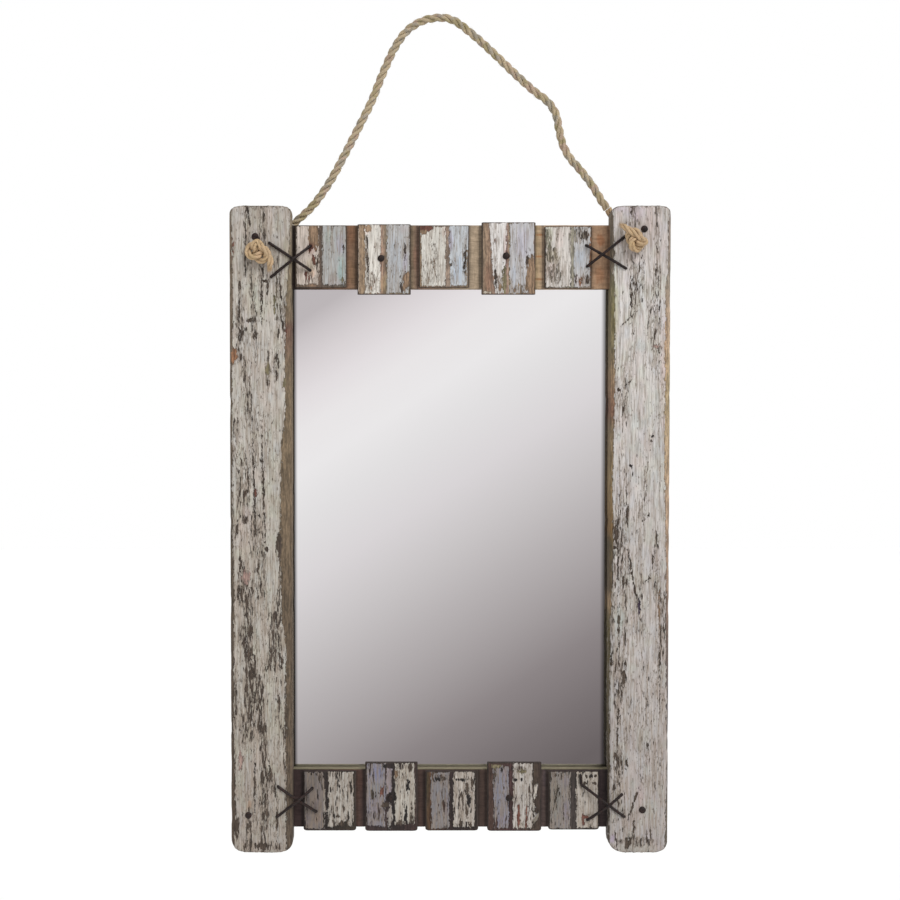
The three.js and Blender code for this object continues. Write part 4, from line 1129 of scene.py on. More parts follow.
# Each slat's stripes of paint: left edge at the top and the foot, right edge at both, first place down, gap
# at the foot and colour. The rest is as for the posts, with the bare wood's colour from left to right.
SLAT_LOOKS = {
    "top_1": {
        "stripes": [
            (0.1, 0.1, 21.5, 21.5, 0.9, 3.4, (196, 184, 174)),
            (25, 25, 47.2, 47.2, 0.8, 3.2, (158, 159, 158)),
        ],
        "bare": [(0, (110, 96, 82)), (16, (132, 108, 88)), (23, (92, 78, 68)), (48, (104, 98, 88))],
        "worn": [(44, 52, 5, 7, 0.6), (12, 52, 9, 5, 0.5), (36, 48, 9, 6, 0.4)],
        "marks": [
            (17, 10, 4.8, 15, "brown"), (13.6, 8, 1.2, 12, "olive"), (19.6, 30, 0.9, 9),
            (44.3, 20, 0.8, 2.6), (43.8, 51, 1, 3.2, "olive", 0.2), (9.5, 46, 1.3, 5, "red"),
            (14.6, 20, 3.2, 4.2, "red"), (16.6, 33, 1.4, 6, "red"), (13, 47, 1, 4, "red"),
        ],
        "stains": [
            (15, 22, 6, 8, "red", 0.4), (15, 44, 5, 6, "rust", 0.4), (42.5, 40, 5, 15, "teal", 0.55),
            (41, 17, 5, 13, "lilac", 0.4), (14, 37, 7, 9, "olive", 0.4), (35, 52, 9, 6, "pink", 0.35),
            (30, 10, 5, 9, "green", 0.3),
        ],
    },
    "top_2": {
        "stripes": [
            (7.2, 7.4, 21.5, 21.2, 0.9, 1.8, (206, 201, 193)),
            (27.5, 27.5, 48.6, 48.6, 0.9, 1.8, (168, 168, 168)),
            (0.5, 0.5, 1.7, 1.7, 4, 2, (192, 172, 152)),
        ],
        "bare": [
            (0, (150, 128, 108)), (6, (146, 124, 100)), (22, (170, 142, 125)), (27, (140, 125, 104)),
            (50, (130, 118, 92)),
        ],
        "worn": [
            (9.3, 27, 1.9, 19, 0.9), (13, 53, 7, 11, 0.85), (44, 56, 6, 9, 0.8), (44, 27, 2, 9, 0.7),
        ],
        "marks": [
            (10, 4, 3.6, 3.6, "tan"), (45.8, 52, 3.4, 9, "brown", -0.1), (44.3, 27, 0.8, 5.5),
            (9.2, 16, 0.9, 4), (10, 40, 0.9, 6), (41, 58, 0.8, 5, "dark", 0.1),
        ],
        "stains": [
            (24.5, 56, 4, 12, "olive", 0.55), (36, 30, 8, 26, "blue", 0.35),
            (44.5, 36, 3, 14, "lilac", 0.4), (25, 34, 4, 20, "pink", 0.35), (9, 5, 6, 6, "pink", 0.4),
            (43, 5, 6, 5, "pink", 0.3),
        ],
    },
    "top_3": {
        "stripes": [
            (2.4, 2.6, 25, 24.5, 1.2, 1.9, (199, 195, 187)),
            (28.4, 29.6, 47, 44.6, 1, 2.2, (177, 181, 185)),
        ],
        "bare": [
            (0, (165, 142, 115)), (3, (150, 125, 100)), (26.5, (140, 122, 108)), (47, (142, 124, 100)),
        ],
        "worn": [(13.5, 40, 11, 19, 0.62), (43, 38, 4, 20, 0.85), (13, 22, 8, 8, 0.4)],
        "marks": [
            (5.5, 2.6, 8.5, 3.4, "red"), (4.6, 5.4, 4.6, 3, "brown"), (30.2, 36.5, 0.9, 1.2),
            (43.5, 24, 0.9, 5), (42.5, 37, 0.8, 3), (46.4, 40, 1.2, 16, "tan", 0.05),
        ],
        "stains": [
            (30, 15, 2.5, 15, "lilac", 0.5), (36, 40, 6, 16, "blue", 0.45), (24, 6, 3, 7, "pink", 0.4),
        ],
    },
    "top_4": {
        "stripes": [
            (6.8, 13, 23.3, 22, 0.9, 2, (207, 203, 200)),
            (26.2, 26.2, 48.8, 48.8, 0.9, 1.8, (176, 175, 177)), (2, 2, 9, 9, 64, 1.6, (186, 176, 160)),
        ],
        "bare": [
            (0, (152, 132, 110)), (6, (142, 118, 98)), (23.5, (160, 130, 120)), (26, (150, 135, 110)),
            (50, (150, 124, 106)),
        ],
        "worn": [(16, 56, 6, 11, 0.85), (36, 61, 10, 6, 0.85), (36, 42, 6, 20, 0.4)],
        "marks": [
            (46.8, 51, 5.6, 22, "brown"), (42.4, 37, 1, 9), (13.2, 52, 1, 7), (22, 54, 2.9, 15, "olive"),
            (17, 60, 1.1, 4, "brown"), (31, 63, 1, 3, "brown"), (24.7, 16, 0.9, 16, "red"),
            (2.6, 3.6, 2.6, 3.2, "olive"),
        ],
        "stains": [
            (6, 52, 6, 15, "red", 0.35), (23.2, 31, 4.6, 5.5, "red", 0.5), (30, 50, 3, 14, "blue", 0.4),
            (38, 20, 8, 20, "lilac", 0.25), (21.6, 22, 1.6, 22, "pink", 0.5),
        ],
    },
    "top_5": {
        "stripes": [
            (1, 1, 24.3, 24.3, 0.8, 1.6, (198, 192, 186)),
            (27.6, 27.6, 43.6, 43, 0.8, 1.8, (178, 177, 177)),
        ],
        "bare": [
            (0, (104, 100, 86)), (8, (122, 112, 100)), (25.5, (154, 148, 132)), (44, (132, 116, 104)),
        ],
        "worn": [
            (3.5, 14, 4.5, 16, 1), (7, 27, 9, 11, 0.95), (9, 43, 10, 14, 0.8), (32, 8, 13, 9, 0.95),
            (38, 50, 8, 7, 0.85), (31, 50, 6, 6, 0.6),
        ],
        "marks": [
            (38, 6, 1, 5, "dark", 0.3), (34, 10, 0.9, 4, "dark", 0.3), (29, 51, 0.9, 4),
            (33, 52, 0.9, 3.4, "rust"), (40, 50, 1, 4), (43.6, 30, 1.6, 24, "rust"),
        ],
        "stains": [
            (4, 10, 5, 13, "green", 0.6), (8, 28, 8, 8, "olive", 0.4), (33, 30, 7, 14, "blue", 0.5),
            (33, 51, 9, 7, "pink", 0.4), (14, 12, 5, 12, "pink", 0.3), (6, 40, 6, 10, "pink", 0.4),
        ],
    },
    "bottom_1": {
        "stripes": [
            (0.8, 0.8, 19.4, 19.4, 1.2, 2.2, (106, 99, 98)),
            (23.8, 23.8, 47.4, 46.6, 0.6, 4.5, (171, 165, 157)),
            (18.8, 18.8, 20.8, 20.8, 17, 6, (148, 141, 134)),
        ],
        "bare": [(0, (58, 48, 46)), (22, (54, 44, 40)), (50, (70, 60, 48))],
        "worn": [
            (37, 51, 9, 5, 1), (10, 3, 10, 3, 0.8), (36, 46, 10, 8, 0.5), (47, 50, 2, 8, 0.9),
            (14, 24, 5, 9, 0.55),
        ],
        "marks": [
            (32, 6.2, 1, 4.6, "black", 0.15), (36, 50, 1.4, 3.4), (29, 50, 1, 3), (38.5, 35, 0.9, 3),
            (32.5, 43, 1.3, 1.3), (15.5, 8, 1, 3),
        ],
        "stains": [
            (3, 46, 3.5, 9, "indigo", 0.5), (12, 31, 8, 11, "pink", 0.35), (13, 45, 6, 6, "rust", 0.35),
            (8, 9, 9, 7, "olive", 0.25),
        ],
    },
    "bottom_2": {
        "stripes": [
            (1.6, 1.6, 19.4, 18.6, 1.4, 5, (124, 121, 130)), (20, 20, 25, 25.4, 6, 36, (140, 130, 137)),
            (28.2, 28.2, 46.8, 46.8, 1, 7, (178, 172, 162)),
        ],
        "bare": [(0, (68, 52, 54)), (20, (78, 62, 60)), (27, (52, 42, 40)), (50, (80, 58, 54))],
        "worn": [(13, 48, 9, 13, 0.85), (36, 4, 9, 4, 0.6), (37, 59, 10, 5, 0.85), (18, 14, 3, 8, 0.5)],
        "marks": [
            (21, 3.4, 4.5, 2.4, "black"), (25, 33, 4.2, 4.2, "black"), (40.4, 22, 1.5, 4.8, "black"),
            (42.6, 4.4, 2, 3.4), (29, 11, 1.6, 5, "brown"), (38.4, 52, 1.5, 9, "black"),
            (43.4, 53, 1, 8, "dark", -0.05), (33.5, 58, 1.2, 5), (30, 60, 0.9, 3),
            (20, 40, 4, 3, "dark", -0.3), (16, 27, 1.6, 4, "red"), (7, 31, 1.2, 4),
        ],
        "stains": [
            (11, 10, 8, 10, "indigo", 0.5), (9, 26, 8, 10, "green", 0.35), (10, 43, 8, 10, "pink", 0.35),
        ],
        "drips": [(23.4, 52, 2, 12, (156, 150, 146))],
    },
    "bottom_3": {
        "stripes": [
            (5.8, 5.8, 23, 22.6, 1.5, 2.5, (121, 117, 119)),
            (26.8, 26.8, 47, 46.4, 0.6, 3.5, (176, 168, 160)),
        ],
        "bare": [(0, (92, 82, 60)), (5, (106, 76, 54)), (25, (58, 44, 44)), (50, (60, 48, 40))],
        "worn": [(13, 7, 9, 6, 0.95), (37, 50, 10, 5, 0.9), (12, 42, 3, 9, 0.6), (37, 30, 9, 20, 0.45)],
        "marks": [
            (34, 8.3, 6, 1, "black"), (39, 15, 1.3, 9, "dark", 0.05), (40.6, 27, 2.5, 5.5, "black"),
            (35, 26, 1, 4.5), (39, 38, 1, 4.5, "dark", 0.1), (33, 50, 1.1, 3.5), (44, 10, 1, 7),
            (42, 52, 1.1, 3), (12, 8, 2.2, 1.4, "black"), (18, 7, 1.4, 1.4),
        ],
        "stains": [
            (2.5, 14, 3.5, 14, "green", 0.5), (2.5, 42, 3.5, 14, "rust", 0.25),
            (15, 22, 8, 12, "blue", 0.3), (20, 32, 3, 14, "lilac", 0.4), (25, 50, 2, 5, "olive", 0.6),
        ],
    },
    "bottom_4": {
        "stripes": [
            (5.6, 7, 20.4, 20.4, 4, 3, (125, 122, 130)),
            (24.4, 24.4, 42.6, 42.6, 0.8, 3, (180, 174, 168)),
        ],
        "bare": [
            (0, (98, 72, 60)), (6, (88, 66, 58)), (22.5, (84, 58, 56)), (44, (86, 72, 60)),
            (51, (82, 64, 56)),
        ],
        "worn": [(31, 7, 8, 5, 0.95), (12, 58, 8, 7, 0.7), (10, 44, 3, 16, 0.7), (31, 58, 9, 6, 0.6)],
        "marks": [
            (7.5, 3, 6, 3, "olive"), (22.6, 6, 2.2, 6, "black"), (7, 13, 1, 7),
            (13.5, 7, 1.3, 2.5, "black"), (33, 9, 3, 1.6, "olive"), (26.5, 16.5, 1.4, 1.3, "black"),
            (32.3, 15.8, 1.1, 1.3, "black"), (29.5, 50, 1.4, 9, "red"), (37, 50, 1.2, 9, "red", 0.03),
        ],
        "stains": [
            (12, 30, 7, 20, "blue", 0.3), (17, 12, 3, 9, "lilac", 0.5), (14, 55, 6, 8, "lilac", 0.3),
        ],
        "drips": [
            (45.4, 27, 1.4, 9, (186, 178, 168), -0.12), (43.5, 42, 1.1, 6, (150, 144, 136), 0.2),
            (46, 53, 1.2, 5, (122, 114, 102), -0.5),
        ],
    },
    "bottom_5": {
        "stripes": [
            (2.4, 2, 20.8, 20.8, 1, 1.4, (126, 121, 119)),
            (26.2, 26.8, 47.4, 47.4, 0.6, 1.8, (177, 169, 160)),
        ],
        "bare": [(0, (92, 80, 62)), (2, (86, 76, 62)), (23.5, (80, 70, 66)), (48, (72, 68, 60))],
        "worn": [(11, 6, 9, 5, 0.6), (36, 48, 10, 6, 0.4), (8, 30, 5, 16, 0.5)],
        "marks": [
            (36, 5, 1.3, 1.4), (40, 5.2, 1.4, 1.5, "black"), (44.8, 5, 1.3, 1.5), (34.4, 11.6, 1.5, 1.3),
            (43, 11.4, 1.6, 1.3), (40.3, 8.5, 0.9, 2.4), (6.5, 4, 1.3, 1.1), (12, 4.4, 1.5, 1.1),
            (16, 4.2, 1.3, 1.1), (7.4, 28, 1, 5), (35, 43.5, 3, 2, "red"), (33, 47, 1.3, 4, "red"),
        ],
        "stains": [
            (7, 25, 6, 26, "green", 0.3), (17, 38, 4, 15, "lilac", 0.5), (17, 10, 4, 8, "lilac", 0.4),
        ],
    },
}
# The slats' sides and ends: dark bare wood, made darker still as painted shade for the dark lines beside the
# slats.
SLAT_SIDE_WOOD_AND_SHADE = tone(52, 42, 36)
# How the rows of slats have aged: the width of the bare rim and its wood, what the coats and the bare wood
# are multiplied by, and the density of flakes.
SLAT_AGEING = {
    "top": {"rim": 0.5, "rim_wood": tone(90, 76, 64), "coat": 1.12, "under": 1.0, "wear": 0.05},
    "bottom": {"rim": 0.9, "rim_wood": tone(58, 47, 42), "coat": 0.98, "under": 0.62, "wear": 0.35},
}


def slat_look(row, index):
    """The slat's stripes of paint, its bare wood between and beside them, and its dark edges and sides."""
    low, high = box_mm(f"{row}_slat_{index}")
    look, ageing = SLAT_LOOKS[f"{row}_{index}"], SLAT_AGEING[row]
    width, height = high[0] - low[0], high[2] - low[2]

    def paint_at(places, facing):
        across, down = places[..., 0] - low[0], high[2] - places[..., 2]
        ragged = ragged_noise(places, (1.8, 1.8, 4.5), 500 + index)
        columns = rough_noise(places, (4, 4, 26), 520 + index, 3)
        cover = plain(-DEEPEST_COVER, places)[..., 0]
        coat = plain(tone(*look["stripes"][0][-1]), places)
        share = down / height
        for left_top, left_foot, right_top, right_foot, first, gap, colour in look["stripes"]:
            left = left_top + (left_foot - left_top) * share
            right = right_top + (right_foot - right_top) * share
            sides = np.minimum(across - left, right - across)
            ends = np.minimum(down - first, height - gap - down)
            depth = np.minimum(sides + 0.7 * ragged, ends + 1.3 * ragged)
            coat = mixed(coat, tone(*colour), rise(depth - cover, -0.2, 0.2))
            cover = np.maximum(cover, depth)
        from_edge = np.minimum(np.minimum(across, width - across), np.minimum(down, height - down))
        cover = np.minimum(cover, from_edge - ageing["rim"] + 0.5 * ragged)
        coat = coat * ageing["coat"]
        under = along_stops(across, look["bare"])
        under = under * (1 + 0.25 * (columns[..., None] * 2 - 1)) * ageing["under"]
        under = mixed(under, ageing["rim_wood"], rise(-from_edge, -1.8, -0.6))
        wear = np.clip(ageing["wear"] + 0.45 * rise(columns, 0.45, 0.75), 0, 1)
        paint = {"coat": coat, "under": under, "cover": cover, "wear": wear}
        weathered(across, down, paint, look, ragged)
        # Sides and ends take the dark side colour, which is partly painted shade.
        turned = 1 - rise(-facing[..., 1], 0.25, 0.6)
        paint["cover"] = paint["cover"] * (1 - turned) - DEEPEST_COVER * turned
        paint["under"] = mixed(paint["under"], SLAT_SIDE_WOOD_AND_SHADE, turned)
        relief, values = painted(paint)
        crown = SLAT_CROWN * np.abs(2 * across / width - 1) ** 2 * (1 - turned)
        return crown + relief, values

    return paint_at


def add_slats():
    """Ten slats, each rounded along its long front edges."""
    rounds = [SLAT_EDGE_ROUND, SLAT_EDGE_ROUND, 0.4, 0.4]
    for row, index in itertools.product(RAILS, range(1, SLATS_PER_RAIL + 1)):
        node = f"{row}_slat_{index}"
        low, high = box_mm(node)
        low[0] -= SLAT_FULLER.get(node, 0.0)
        steps = [round((high[0] - low[0]) / SLAT_SPACING), 4, 30, 4]
        rows = rows_along(low[2], high[2], SLAT_SPACING, end_zone=2.8, end_rows=6)

        def edges(rows, low=low, high=high, foot_round=SLAT_FOOT_ROUND[row]):
            cut = corner_cut(foot_round, rows - low[2]) + corner_cut(SLAT_END_ROUND, high[2] - rows)
            return low[0] + cut, high[0] - cut

        grid = board_grid(box_loop(low, high, 0, rounds, steps), rows, SLAT_END_ROUND, edges)
        slat = stand_in(node, "worn", board_shell(grid, slat_look(row, index)), SLAT_PAINT)
        slat.visible_glossy = False  # the glass shows the room above the slats' ends


SLAT_PAINT = painted_finish("flaked_slat_paint", 1.6)
add_slats()


# ---------- the rails' boards


def aged_wood_finish():
    """The rails' old boards: the colour that the mesh carries, streaked across the grain's fine lines."""
    finish = Finish("old_board_wood")
    streaks = finish.noise(finish.place((4, 1, 1)), 2.0, detail=6, roughness=0.65, distortion=0.3)
    stripes = finish.noise(finish.place((1, 1, 5)), 1.6, detail=4)
    lit = finish.rise(streaks, 0.25, 0.75, 0.72, 1.25)
    lit = finish.times(lit, finish.rise(stripes, 0.3, 0.7, 0.86, 1.12))
    colour = finish.shade(finish.attribute("bare", "Color"), lit)
    return finish.done(colour, finish.rise(streaks, 0.2, 0.8, 0.95, 0.8), height=streaks, depth=0.2)


# The boards' colours along X where they show between the slats, and their stains, also by X.
BOARD_LOOKS = {
    "top": {
        "bare": [
            # The first two stops, between the left post and the first slat, are painted shade.
            (-141, (60, 46, 38)), (-137, (60, 46, 38)), (-89, (134, 102, 78)), (-81, (122, 96, 74)),
            (-31, (140, 122, 98)), (-24, (132, 104, 88)), (24, (172, 152, 128)), (34, (166, 146, 122)),
            (85, (186, 160, 124)), (92, (178, 152, 126)), (138, (168, 136, 108)), (152, (160, 126, 98)),
        ],
        "stains": [
            (-27, 30, 3, 15, "pink", 0.6), (-85, 8, 5, 14, "rust", 0.35), (145, 14, 5, 7, "rust", 0.6),
            (144, 46, 6, 10, "rust", 0.4), (88, 9, 6, 1.1, "rust", 0.8), (88, 29, 6, 1.1, "rust", 0.8),
            (88, 50, 6, 1.1, "rust", 0.7), (-85, 45, 4, 14, "olive", 0.3),
        ],
    },
    "bottom": {
        "bare": [
            (-141, (52, 36, 34)), (-133, (48, 32, 30)), (-81, (78, 54, 44)), (-74, (64, 50, 47)),
            (-24, (70, 50, 42)), (-18, (60, 42, 36)), (33, (62, 46, 38)), (40, (70, 52, 44)),
            (92, (86, 70, 66)), (97, (62, 48, 42)), (146, (56, 42, 42)), (153, (52, 40, 38)),
        ],
        "stains": [(-77, 10, 5, 14, "rust", 0.4), (94.5, 10, 2.5, 14, "indigo", 0.4)],
    },
}
# Painted light: the bottom board's upward faces are paler, as if lit from above.
BOARD_TOP_LIGHT = tone(124, 116, 92)
TENON_SINK = 2.0  # of a tenon's back from the board's
BOARD_ROUND = 0.8


def board_look(row):
    """The board's wood, with dark lines along both sides of the slats and along the posts: grime and painted
    shadow, deeper beside the slats' left sides, away from the key light.
    """
    _, high = box_mm(f"{row}_rail_board")
    look = BOARD_LOOKS[row]
    slats = [box_mm(f"{row}_slat_{index}") for index in range(1, SLATS_PER_RAIL + 1)]
    lefts = [low[0] for low, _ in slats] + [INNER_EDGES["right"]]
    rights = [top[0] for _, top in slats] + [INNER_EDGES["left"]]

    def wood_at(places, facing):
        x, down = places[..., 0], high[2] - places[..., 2]
        ragged = ragged_noise(places, (2, 2, 5), 600)
        paint = {"coat": along_stops(x, look["bare"]), "under": 0.0, "cover": 0.0, "wear": 0.0}
        weathered(x, down, paint, look, ragged)
        grime_and_painted_shadow = np.zeros(x.shape)
        # Grime and painted shadow: dark lines beside each slat, deeper on its left side.
        for edges, depth, aside, width in ((lefts, 0.5, -1.0, 1.0), (rights, 0.35, 0.4, 0.8)):
            for edge in edges:
                grime_and_painted_shadow = np.maximum(grime_and_painted_shadow, depth * np.exp(-(((x - edge - aside) / width) ** 2)))
        bare = paint["coat"] * (1 - grime_and_painted_shadow[..., None] * np.array([1, 1, 1, 0]))
        bare = mixed(bare, BARE["brown"], 0.5 * rise(facing[..., 1], 0.3, 0.7))
        # Painted light on the bottom board's upward faces.
        bare = mixed(bare, BOARD_TOP_LIGHT, rise(facing[..., 2], 0.4, 0.8) * (row == "bottom"))
        return 0.25 * rough_noise(places, (14, 3, 3), 610, 3), {"bare": bare}

    return wood_at


def tenon_thinning(height, along):
    """The depth of a board's back: nearer to the front where its ends are tenons in the posts."""
    in_post = (along < INNER_EDGES["left"] - 0.2) | (along > INNER_EDGES["right"] + 0.2)
    return REBATE_FRONT - TENON_SINK * in_post


def add_boards():
    """The rails' boards, whose ends are tenons in the posts."""
    wood = aged_wood_finish()
    for row in RAILS:
        low, high = box_mm(f"{row}_rail_board")
        loop = box_loop(low, high, 2, [BOARD_ROUND] * 4, steps=[60, 12, 40, 12])
        rows = rows_along(low[0], high[0], spacing=0.8, end_zone=3, end_rows=4)
        grid = board_grid(loop, rows, BOARD_ROUND, thinning=tenon_thinning)
        shell = board_shell(grid, board_look(row), lying=True)
        stand_in(f"{row}_rail_board", "worn", shell, wood)


add_boards()


# ---------- glass, panel and battens

GLASS_EDGE_ROUND = 0.5


def smooth(places, facing):
    """A look with no relief and no values."""
    return 0 * places[..., 0], {}


def add_glass():
    """The mirror glass: a flat silvered sheet with ground edges. Beside the posts and over the lower board
    its colour is darkened:
    a painted reflection of the shaded faces of the posts and the board that the glass would show there."""
    finish = Finish("silvered_glass", metallic=1.0, roughness=0.015)
    places = finish.node("ShaderNodeSeparateXYZ", {"Vector": finish.place()}).outputs
    x, foot = places["X"], box_mm("bottom_rail_board")[1][2]
    left, right = INNER_EDGES["left"], INNER_EDGES["right"]
    # Painted reflection of shade: darker strips beside both posts and over the lower board.
    painted_edge_shade = finish.rise(x, left + 0.6, left + 4.6, 0.12, 1)
    painted_edge_shade = finish.times(painted_edge_shade, finish.rise(x, right - 6.5, right - 1.8, 1, 0.28))
    painted_edge_shade = finish.times(painted_edge_shade, finish.rise(places["Z"], foot + 0.2, foot + 2.4, 0.45, 1))
    finish.done(finish.shade(tone(250, 250, 250), painted_edge_shade))
    low, high = box_mm("mirror_glass")
    loop = box_loop(low, high, 0, [GLASS_EDGE_ROUND] * 4, steps=[60, 2, 60, 2])
    rows = rows_along(low[2], high[2], spacing=8, end_zone=GLASS_EDGE_ROUND, end_rows=4)
    sheet = board_shell(board_grid(loop, rows, GLASS_EDGE_ROUND), smooth)
    stand_in("mirror_glass", "silvered", sheet, finish.material)


def batten_finish():
    """The battens' sawn wood: streaks along their length between a dark and a pale tone."""
    finish = Finish("batten_wood")
    streaks = finish.noise(finish.place((14, 1, 1)), 2.2, detail=6, roughness=0.65, distortion=0.3)
    pores = finish.noise(finish.place((14, 1, 1)), 0.6, detail=3)
    colour = finish.blend(finish.rise(streaks, 0.25, 0.75), tone(132, 100, 66), tone(190, 158, 116))
    colour = finish.shade(colour, finish.rise(pores, 0.3, 0.5, 0.75, 1.0))
    return finish.done(colour, finish.rise(streaks, 0.2, 0.8, 0.95, 0.8), height=pores, depth=0.15)


def hardboard_finish():
    """Brown pressed fibreboard: fine fibres at all angles."""
    finish = Finish("hardboard")
    fibre = finish.noise(finish.place(), 0.9, detail=5, roughness=0.7, distortion=1.2)
    cloud = finish.noise(finish.place(), 22, detail=3)
    colour = finish.blend(finish.rise(fibre, 0.3, 0.7), tone(92, 62, 40), tone(132, 94, 62))
    colour = finish.shade(colour, finish.rise(cloud, 0.3, 0.7, 0.88, 1.08))
    return finish.done(colour, finish.rise(fibre, 0.2, 0.8, 0.75, 0.92), height=fibre, depth=0.1)


SINK_ROOM = 0.9  # round a screw's head
SINK_DEPTH = 1.6
BATTEN_SCREWS = ("left", "middle", "right")
BATTEN_ROUND = 0.6
PANEL_ROUND = 0.4


def screw_sinks(names, back):
    """The depth of a batten's back round its countersunk screws: a cone as wide as each head."""
    boxes = [box_mm(name) for name in names]

    def depth(points):
        deepest = np.zeros(points.shape[:-1])
        for low, high in boxes:
            place, radius = (low + high) / 2, (high[0] - low[0]) / 2
            reach = np.hypot(points[..., 0] - place[0], points[..., 2] - place[2])
            deepest = np.maximum(deepest, np.clip(radius + SINK_ROOM - reach, 0, SINK_DEPTH))
        return deepest * (points[..., 1] > back - 1)

    return depth


def add_battens():
    """The battens that hold the glass, sawn and unpainted, and the panel behind it."""
    wood = batten_finish()
    for row in ("upper", "lower"):
        low, high = box_mm(f"{row}_batten")
        loop = box_loop(low, high, 2, [BATTEN_ROUND] * 4, steps=[16, 5, 46, 5])
        rows = rows_along(low[0], high[0], spacing=0.9, end_zone=2, end_rows=4)
        grid = board_grid(loop, rows, BATTEN_ROUND)
        sinks = screw_sinks([f"batten_screw_{row}_{where}" for where in BATTEN_SCREWS], high[1])

        def look(places, facing, sinks=sinks):
            return 0.2 * rough_noise(places, (20, 2.5, 2.5), 640, 3) + sinks(places), {}

        stand_in(f"{row}_batten", "sawn", board_shell(grid, look, lying=True), wood)
    low, high = box_mm("back_panel")
    loop = box_loop(low, high, 0, [PANEL_ROUND] * 4, steps=[40, 3, 110, 3])
    rows = rows_along(low[2], high[2], spacing=3, end_zone=1, end_rows=3)
    grid = board_grid(loop, rows, PANEL_ROUND)

    def panel_look(places, facing):
        return 0.15 * rough_noise(places, (9, 9, 9), 660, 3), {}

    stand_in("back_panel", "pressed", board_shell(grid, panel_look), hardboard_finish())


add_glass()
add_battens()


# ---------- wires, nails, screws, buttons


def iron_finish():
    """Rusted iron: dark scale with red-brown rust over it and a dull shine where it is bare."""
    finish = Finish("rusty_iron")
    rust = finish.noise(finish.place(), 1.1, detail=6, roughness=0.7)
    patch = finish.noise(finish.place(), 3.5, detail=3)
    rusted = finish.rise(finish.sum(rust, finish.times(patch, 0.5)), 0.70, 0.92)
    colour = finish.blend(rusted, tone(24, 17, 15), tone(56, 33, 26))
    roughness = finish.rise(rusted, 0, 1, 0.5, 0.92)
    metallic = finish.rise(rusted, 0, 1, 0.4, 0.05)
    return finish.done(colour, roughness, height=rust, depth=0.25, metallic=metallic)


def zinc_finish():
    """Zinc-plated steel with a faint spangle and dull spots."""
    finish = Finish("zinced_steel", metallic=1.0)
    cells = {"Vector": finish.place(), "Scale": 1 / 2.6}
    spangle = finish.node("ShaderNodeTexVoronoi", cells).outputs["Distance"]
    dull = finish.noise(finish.place(), 3.0, detail=5)
    colour = finish.blend(finish.rise(dull, 0.45, 0.7), tone(188, 188, 182), tone(138, 136, 128))
    colour = finish.shade(colour, finish.rise(spangle, 0.1, 0.7, 1.05, 0.9))
    return finish.done(colour, finish.rise(dull, 0.3, 0.7, 0.32, 0.6), height=spangle, depth=0.05)


IRON = iron_finish()
ZINC = zinc_finish()

WIRE_RADIUS = 1.1
WIRE_RUST = 0.22  # that swells it
WIRE_ROUGHNESS = 0.6
WIRE_BEND = 1.5
WIRE_STEP = 0.45
WIRE_SIDES = 14
WIRE_GAP = 0.3
WIRE_IN_POST = 9.5
CORNERS = [f"{row}_{side}" for row in RAILS for side in SIDES]
HIGHER_IN_POST = {"left": "a", "right": "b"}  # which of a corner's two wires has its higher end in the post
HOOKED_WIRE = ("bottom_right", "a")  # one wire has a short hook past its bend
HOOK_OFFSET = np.array([0.4, 0, -8.1])  # from the wire's end in the slat to its bend


def wire_ends(corner, letter):
    """The middles of a wire's two ends, in the post and in the slat, from its node's box."""
    side = corner.split("_")[1]
    low, high = box_mm(f"lacing_wire_{corner}_{letter}")
    low, high = low + WIRE_RADIUS, high - WIRE_RADIUS
    post_x, slat_x = (low[0], high[0]) if side == "left" else (high[0], low[0])
    post_z, slat_z = (high[2], low[2]) if letter == HIGHER_IN_POST[side] else (low[2], high[2])
    return np.array([post_x, 0, post_z]), np.array([slat_x, 0, slat_z])


def wire_path(corner, letter):
    """A wire's line: out of the post, over its edge or over the wire below it, and into the slat."""
    row, side = corner.split("_")
    post, slat = wire_ends(corner, letter)
    node_low, node_high = box_mm(f"lacing_wire_{corner}_{letter}")
    slat_front = box_mm(f"{row}_slat_{1 if side == 'left' else SLATS_PER_RAIL}")[0][1]
    on_post = post + BACKWARD * (POST_FRONT - WIRE_RADIUS - WIRE_GAP)
    on_slat = slat + BACKWARD * (slat_front - WIRE_RADIUS - WIRE_GAP)
    landing = on_slat + HOOK_OFFSET * ((corner, letter) == HOOKED_WIRE)
    if letter == "a":
        edge = INNER_EDGES[side] - INWARD[side] * WIRE_BEND
        share = (edge - on_post[0]) / (landing[0] - on_post[0])
        height = on_post[1]
    else:
        other_post, other_slat = wire_ends(corner, "a")
        other_slat = other_slat + HOOK_OFFSET * ((corner, "a") == HOOKED_WIRE)
        one, two = slat - post, other_slat - other_post
        gap = other_post - post
        share = (gap[0] * two[2] - gap[2] * two[0]) / (one[0] * two[2] - one[2] * two[0])
        height = node_low[1] + WIRE_RADIUS
    bearing = on_post + share * (landing - on_post)
    bearing[1] = height
    post_end = on_post * np.array([1, 0, 1]) + BACKWARD * (POST_FRONT + WIRE_IN_POST)
    slat_end = np.array([slat[0], node_high[1], slat[2]])
    return np.array([post_end, on_post, bearing, landing, on_slat, slat_end])


def rusty_rod(path, seed):
    """A round rod along a path, whose radius varies a little by noise."""
    angle = np.arange(WIRE_SIDES) * 2 * math.pi / WIRE_SIDES
    _, across, up = frames_along(path)
    ring = across[:, None] * np.cos(angle)[None, :, None] + up[:, None] * np.sin(angle)[None, :, None]
    rough = rough_noise(path[:, None] + ring * 2, (1.1, 1.1, 1.1), seed, 3) - 0.5
    radius = WIRE_RADIUS + WIRE_RUST + WIRE_ROUGHNESS * rough
    return closed_tube(path[:, None] + ring * radius[..., None])


